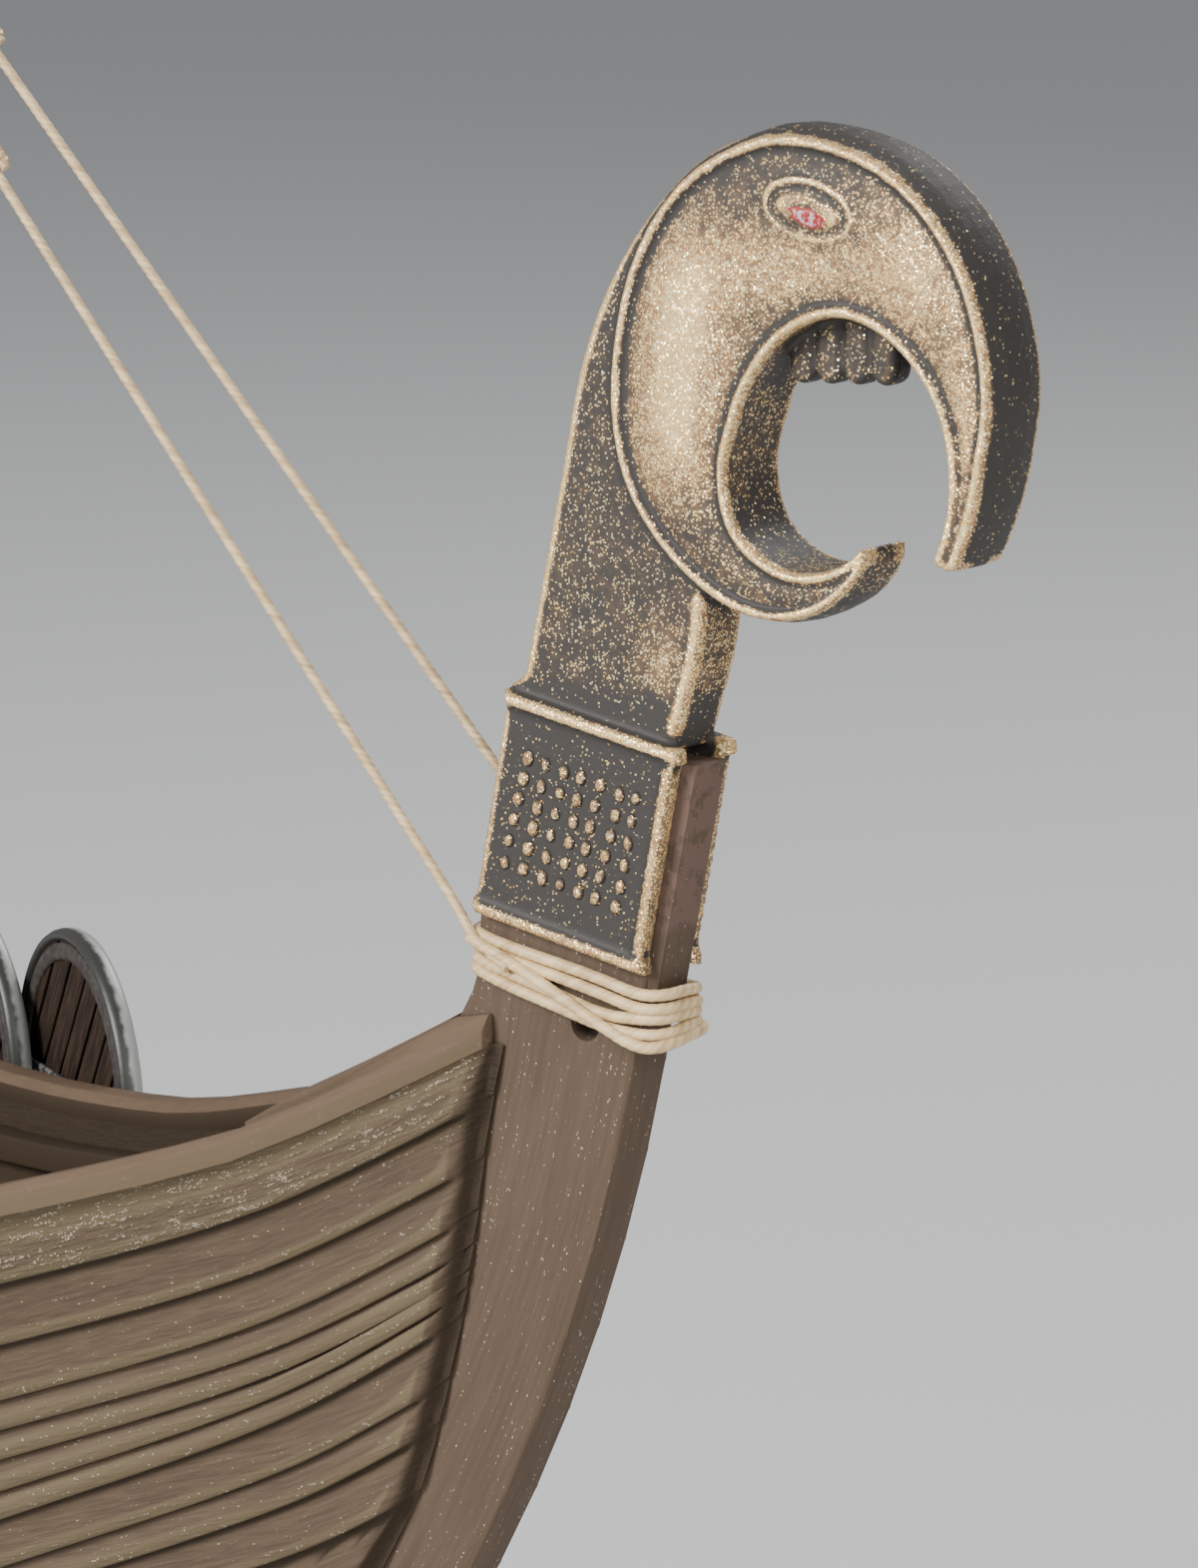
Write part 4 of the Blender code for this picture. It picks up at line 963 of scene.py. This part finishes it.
# %% One shield, modelled flat at the origin
BOARDS = 8
BOARD_RADIUS = 8.75
BOARD_HALF = 0.42
SEAM = 0.32
WEB_RADIUS = 8.65
WEB_HALF = 0.12
RIM_RADIUS = 8.95
RIM_HALF = 0.4
HOOP_RADIUS = 8.0
BOSS_REACH = (1.75, 1.35, 1.75)
BOSS_OUT = 0.45
FLANGE_RADIUS = 1.95
GRIP_SIZE = (14.5, 0.34, 0.9)
GRIP_BACK = -0.62
ROUND = 96
FACING = (math.radians(90), 0.0, 0.0)


def disc_piece(radius, half):
    """A flat disc about the shield's axis."""
    bpy.ops.mesh.primitive_cylinder_add(vertices=ROUND, radius=radius * MM, depth=2 * half * MM,
                                        rotation=FACING)
    return settle(bpy.context.object)


def cut_off(where, outward):
    """Cuts the open mesh with a plane, drops what lies beyond and closes the cut."""
    bpy.ops.mesh.select_all(action="SELECT")
    bpy.ops.mesh.bisect(plane_co=where, plane_no=outward, use_fill=True, clear_outer=True)


def board(number):
    """One board, cut from a disc between its two seams."""
    wide = 2 * BOARD_RADIUS / BOARDS
    left = -BOARD_RADIUS + wide * number + SEAM / 2
    disc = disc_piece(BOARD_RADIUS, BOARD_HALF)
    bpy.ops.object.mode_set(mode="EDIT")
    cut_off((left * MM, 0.0, 0.0), (-1.0, 0.0, 0.0))
    cut_off(((left + wide - SEAM) * MM, 0.0, 0.0), (1.0, 0.0, 0.0))
    close_mesh()
    bevel(disc, 0.08, 2, 60.0)
    return disc


def ring_piece(radius, thick, out, tall):
    """A ring about the shield's axis, its section squeezed to so tall."""
    bpy.ops.mesh.primitive_torus_add(major_radius=radius * MM, minor_radius=thick * MM, major_segments=ROUND,
                                     minor_segments=12, rotation=FACING, location=(0.0, out * MM, 0.0))
    ring = bpy.context.object
    bpy.ops.object.transform_apply(location=False, rotation=True, scale=True)
    ring.scale = (1.0, tall / thick, 1.0)
    return settle(ring)


def boss_piece():
    """Half a ball on the shield's face."""
    bpy.ops.mesh.primitive_uv_sphere_add(segments=48, ring_count=24, radius=1.0)
    boss = bpy.context.object
    boss.scale = [reach * MM for reach in BOSS_REACH]
    boss.location = (0.0, BOSS_OUT * MM, 0.0)
    settle(boss)
    bpy.ops.object.mode_set(mode="EDIT")
    cut_off((0.0, BOARD_HALF * MM, 0.0), (0.0, -1.0, 0.0))
    close_mesh()
    return boss


def grip_piece():
    """The bar that a hand holds, across the shield's back."""
    bpy.ops.mesh.primitive_cube_add(size=1.0, location=(0.0, GRIP_BACK * MM, 0.0))
    grip = bpy.context.object
    grip.scale = [size * MM for size in GRIP_SIZE]
    settle(grip)
    bevel(grip, 0.14, 3, 45.0)
    return grip


boards = [board(number) for number in range(BOARDS)]
web = disc_piece(WEB_RADIUS, WEB_HALF)
shield_boards = joined(boards + [web], "shield_boards")
keep_vector(shield_boards, "board", vectors_of(shield_boards.data, "co"))
shield_rim = joined([ring_piece(RIM_RADIUS, RIM_HALF, 0.0, 0.7)], "shield_rim")
# Painted highlight: how far towards the outward face each point of the rim lies, which the rim's paint turns
# pale.
keep_value(shield_rim, "edge", vectors_of(shield_rim.data, "co")[:, 1] / MM)
iron = [boss_piece(), ring_piece(FLANGE_RADIUS, 0.3, BOSS_OUT, 0.16), grip_piece()]
shield_iron = joined(iron, "shield_iron")
shield_hoop = joined([ring_piece(HOOP_RADIUS, 0.52, -BOARD_HALF, 0.2)], "shield_hoop")
patterns = (
    (shield_boards, board_paint, 35.0),
    (shield_rim, rim_metal, 180.0),
    (shield_iron, boss_metal, 40.0),
    (shield_hoop, hoop_paint, 180.0),
)
for pattern, _, angle in patterns:
    shade(pattern, angle)
print("shield patterns:", [pattern.name for pattern, _, _ in patterns])

# %% Shields in their places
BOARD_LEAN = math.radians(35.0)
BACK_BAND = 0.0002
BACK_TO_MIDDLE = 0.0007


def shield_pose(node, hand):
    """The middle of a frame shield, found from its back, and the turn that faces it outwards."""
    spots = vectors_of(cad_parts[node].data, "co")
    _, _, axes = np.linalg.svd(spots - spots.mean(axis=0), full_matrices=False)
    outward = axes[2] if axes[2][1] * hand > 0 else -axes[2]
    along = math.atan2(outward[1], outward[0]) - math.radians(90)
    low, high = (Vector(corner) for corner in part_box(node))
    centre = (low + high) / 2
    reach = [(Vector(spot) - centre).dot(Vector(outward)) for spot in spots]
    back = [r for r in reach if r < min(reach) + BACK_BAND]
    centre += Vector(outward) * (sum(back) / len(back) + BACK_TO_MIDDLE)
    return Matrix.Translation(centre) @ Matrix.Rotation(along, 4, "Z")


for side, hand in SIDES:
    for number in (1, 2):
        node = "shield_%s_%d" % (side, number)
        pose = shield_pose(node, hand)
        for pattern, paint, _ in patterns:
            piece = linked("%s_%s_%d" % (pattern.name, side, number), pattern.data.copy())
            lean = hand * BOARD_LEAN if pattern is shield_boards else 0.0
            piece.data.transform(pose @ Matrix.Rotation(lean, 4, "Y"))
            hand_in(piece, paint, "shield_paint", node)
for pattern, _, _ in patterns:
    bpy.data.objects.remove(pattern)

# %% [markdown]
# ## Thread
# The rigging is waxed three-ply cotton. A thread's section has three lobes that turn as they go, and the
# tube swept along each path keeps its frame from twisting by carrying it from one step to the next.

# %% Thread paint and sweep
THREAD_PITCH = 1.5
THREAD_SIDES = 15
THREAD_STEP = 0.16
ROUNDINGS = 3
LOBES = 3
DEEPEST = 0.2
THREAD_DARK = (0.45, 0.30, 0.145, 1.0)
THREAD_PALE = (0.72, 0.53, 0.285, 1.0)
THREAD_VALLEY_SHADE = (0.30, 0.21, 0.12, 1.0)

thread_paint = new_paint("thread_paint", 0.42)
thread_run = kept(thread_paint, "thread", vector=True)
fibres = grainy(thread_paint, stretched(thread_paint, thread_run, (0.35, 1.0, 1.0)), 9.0, 3.0)
stains = grainy(thread_paint, stretched(thread_paint, thread_run, (0.2, 0.3, 0.3)), 1.6, 3.0)
thread_tone = mix(thread_paint, spread(thread_paint, stains, 0.3, 0.7), THREAD_DARK, THREAD_PALE)
# Painted shade: the valleys between the lobes are darkened.
valley = times(thread_paint, kept(thread_paint, "valley"), 0.55)
coat(thread_paint, "Base Color", mix(thread_paint, valley, thread_tone, THREAD_VALLEY_SHADE))
coat(thread_paint, "Normal", bumped(thread_paint, fibres, 0.00003, 0.5))
coat(thread_paint, "Subsurface Weight", 0.08)
coat(thread_paint, "Subsurface Radius", (0.0006, 0.0004, 0.0002))


def even_path(points, closed):
    """Points along a smooth curve that follows a few places, one for each short step."""
    path = np.array(points, dtype=float)
    for _ in range(ROUNDINGS):
        after = np.roll(path, -1, axis=0)
        doubled = np.empty((2 * len(path), 3))
        doubled[0::2] = 0.75 * path + 0.25 * after
        doubled[1::2] = 0.25 * path + 0.75 * after
        path = doubled if closed else np.vstack((path[:1], doubled[:-2], path[-1:]))
    loop = np.vstack((path, path[:1])) if closed else path
    steps = np.linalg.norm(np.diff(loop, axis=0), axis=1)
    far = np.concatenate(([0.0], np.cumsum(steps)))
    count = max(8, int(far[-1] / THREAD_STEP))
    wanted = np.linspace(0.0, far[-1], count, endpoint=not closed)
    return np.column_stack([np.interp(wanted, far, loop[:, axis]) for axis in range(3)])


def directions(path, closed):
    """The unit vector ahead at each point of a path."""
    ahead = np.roll(path, -1, axis=0) - np.roll(path, 1, axis=0)
    if not closed:
        ahead[0] = path[1] - path[0]
        ahead[-1] = path[-1] - path[-2]
    return ahead / np.linalg.norm(ahead, axis=1)[:, None]


def tube_faces(first, rings, closed):
    """The faces of one tube, from the number of its first vertex, with flat ends unless it is closed."""
    faces = []
    for i in range(rings if closed else rings - 1):
        a, b = first + i * THREAD_SIDES, first + ((i + 1) % rings) * THREAD_SIDES
        for j in range(THREAD_SIDES):
            k = (j + 1) % THREAD_SIDES
            faces.append((a + j, a + k, b + k, b + j))
    if not closed:
        last = first + (rings - 1) * THREAD_SIDES
        faces.append(tuple(range(first + THREAD_SIDES - 1, first - 1, -1)))
        faces.append(tuple(range(last, last + THREAD_SIDES)))
    return faces


def swept_thread(paths, name, radius, lobes=DEEPEST):
    """Sweeps a three-lobed section along each path of (aft, y, up) places."""
    vertices, faces, runs, valleys = [], [], [], []
    angles = np.arange(THREAD_SIDES) * 2 * math.pi / THREAD_SIDES
    for points, closed in paths:
        path = even_path(points, closed)
        faces += tube_faces(len(vertices), len(path), closed)
        ahead = directions(path, closed)
        across = np.cross(ahead[0], (0.0, 0.3, 1.0))
        for i, (centre, forward) in enumerate(zip(path, ahead)):
            across = across - forward * across.dot(forward)
            across /= np.linalg.norm(across)
            other = np.cross(forward, across)
            turn = 2 * math.pi * i * THREAD_STEP / THREAD_PITCH
            lobe = np.abs(np.cos(LOBES / 2 * (angles - turn)))
            for angle, bulge in zip(angles, lobe):
                out = radius * (1.0 - lobes + lobes * bulge)
                vertices.append(place(*(centre + out * (math.cos(angle) * across + math.sin(angle) * other))))
                runs.append((i * THREAD_STEP, math.cos(angle - turn), math.sin(angle - turn)))
                # How deep in a valley each vertex lies, for the painted shade there.
                valleys.append((1.0 - bulge) ** 2 * lobes / DEEPEST)
    mesh = bpy.data.meshes.new(name)
    mesh.from_pydata(vertices, [], faces)
    piece = linked(name, mesh)
    keep_vector(piece, "thread", runs)
    keep_value(piece, "valley", valleys)
    open_whole(piece)
    bpy.ops.mesh.normals_make_consistent(inside=False)
    close_mesh()
    shade(piece, 60.0)
    return piece


print("thread paint:", len(thread_paint.node_tree.nodes), "nodes")

# %% [markdown]
# ## The lashing
# Five turns bind the collar's foot. On the near side they start close together at the back, spread as they
# slope down, and bunch again round the front edge. One turn crosses over the others from the upper left to
# the lower right.

# %% Five turns of thread
STRAND = 0.31
TURNS = (
    ((4.45, 3.85, 3.0, 2.5), (2.4, 3.3, 4.4), 0.0),
    ((3.9, 3.25, 2.3, 1.8), (1.75, 2.9, 3.8), 0.08),
    ((3.15, 2.5, 1.2, 1.3), (1.25, 2.2, 3.3), 0.0),
    ((2.6, 1.85, 0.62, 0.5), (0.75, 1.5, 2.7), 0.05),
    ((4.2, 3.3, 0.85, -0.05), (0.35, 1.9, 3.4), 0.45),
)
SIDE_OUT = 1.82
BACK_AFT = 1.15
FRONT_AFT = -10.55


def turn_places(near, far, over):
    """A closed turn round the stem: along the near side, round the front, and back along the far side."""
    out = SIDE_OUT + over
    back, front = BACK_AFT + over * 0.3, FRONT_AFT - over * 0.3
    n0, n1, n2, n3 = near
    f0, f1, f2 = far
    near_side = [(back, -out + 0.4, n0 - 0.1), (back - 0.9, -out, n0 - 0.25), (-1.5, -out, n1),
                 (-4.5, -out, (n1 + n2) / 2), (-7.2, -out, n2), (front + 1.2, -out, n3)]
    round_front = [(front - 0.15, -out + 0.35, n3 + 0.1), (front - 0.45, 0.0, (n3 + f0) / 2 + 0.25),
                   (front - 0.15, out - 0.35, f0 + 0.1)]
    far_side = [(front + 1.2, out, f0), (-5.5, out, f1), (back - 1.2, out, f2), (back, out - 0.4, f2 + 0.05)]
    return near_side + round_front + far_side + [(back + 0.15, 0.0, (n0 + f2) / 2)]


lashing = swept_thread([(turn_places(*turn), True) for turn in TURNS], "lashing_turns", STRAND, 0.07)
hand_in(lashing, thread_paint, "thread", "lashing")

# %% [markdown]
# ## The stays
# Two stays run taut from the lashing, up and aft to the masthead of the whole ship. Each ends here, just
# outside the view, in an eye that is turned back on itself and bound with a short seizing.

# %% Two taut stays with their eyes
STAY = 0.27
STAY_PITCH = 0.68
EYE_HALF_WIDE = 0.85
EYE_LENGTH = 1.5
EYE_REACH = 2.4
EYE_TAIL = 1.6
EYE_TURNS = np.linspace(-65, 245, 13)
SEIZING_TURNS = 5
SEIZING_STEPS = 10
SEIZING_THREAD = 0.11
SEIZING_REACH = (0.68, 0.38)
SEIZING_START = 0.2
SEIZING_LONG = 1.0
STAYS = {
    "stay_starboard": ((1.75, -1.75, 5.17), (33.1, -1.4, 41.1),
                       ((-1.6, -2.35, 2.9), (0.3, -2.2, 3.9), (1.25, -1.95, 4.6))),
    "stay_port": ((-5.4, 2.82, 3.08), (35.8, 1.4, 47.12), ((-7.4, 2.2, 1.6), (-6.5, 2.5, 2.2))),
}


def stay_places(start, end, lead):
    """The stay's path with its eye, and the seizing's coil."""
    start, end = np.array(start), np.array(end)
    run = np.linalg.norm(end - start)
    ahead = (end - start) / run
    aside = np.cross(ahead, (0.0, 1.0, 0.0))
    aside = aside if aside[2] > 0 else -aside
    points = [np.array(spot) for spot in lead]
    points += [start + (end - start) * t for t in np.linspace(0.0, 1.0, 12)]
    for turn in EYE_TURNS:
        a = math.radians(turn)
        middle = end + ahead * EYE_REACH + aside * STAY_PITCH / 2
        points.append(middle + (ahead * math.sin(a) * EYE_LENGTH - aside * math.cos(a) * EYE_HALF_WIDE))
    points.append(end + aside * STAY_PITCH)
    points.append(end + aside * STAY_PITCH - ahead * EYE_TAIL)
    third = np.cross(ahead, aside)
    coil = []
    for step in range(SEIZING_TURNS * SEIZING_STEPS + 1):
        a = 2 * math.pi * step / SEIZING_STEPS
        middle = end - ahead * (SEIZING_START + SEIZING_LONG * step / (SEIZING_TURNS * SEIZING_STEPS))
        coil.append(middle + aside * STAY_PITCH / 2 + aside * math.cos(a) * SEIZING_REACH[0]
                    + third * math.sin(a) * SEIZING_REACH[1])
    return points, coil


for node, (start, end, lead) in STAYS.items():
    path, coil = stay_places(start, end, lead)
    stay = swept_thread([(path, False)], node + "_thread", STAY)
    seizing = swept_thread([(coil, False)], node + "_seizing", SEIZING_THREAD)
    hand_in(joined([stay, seizing], node + "_thread"), thread_paint, "thread", node)
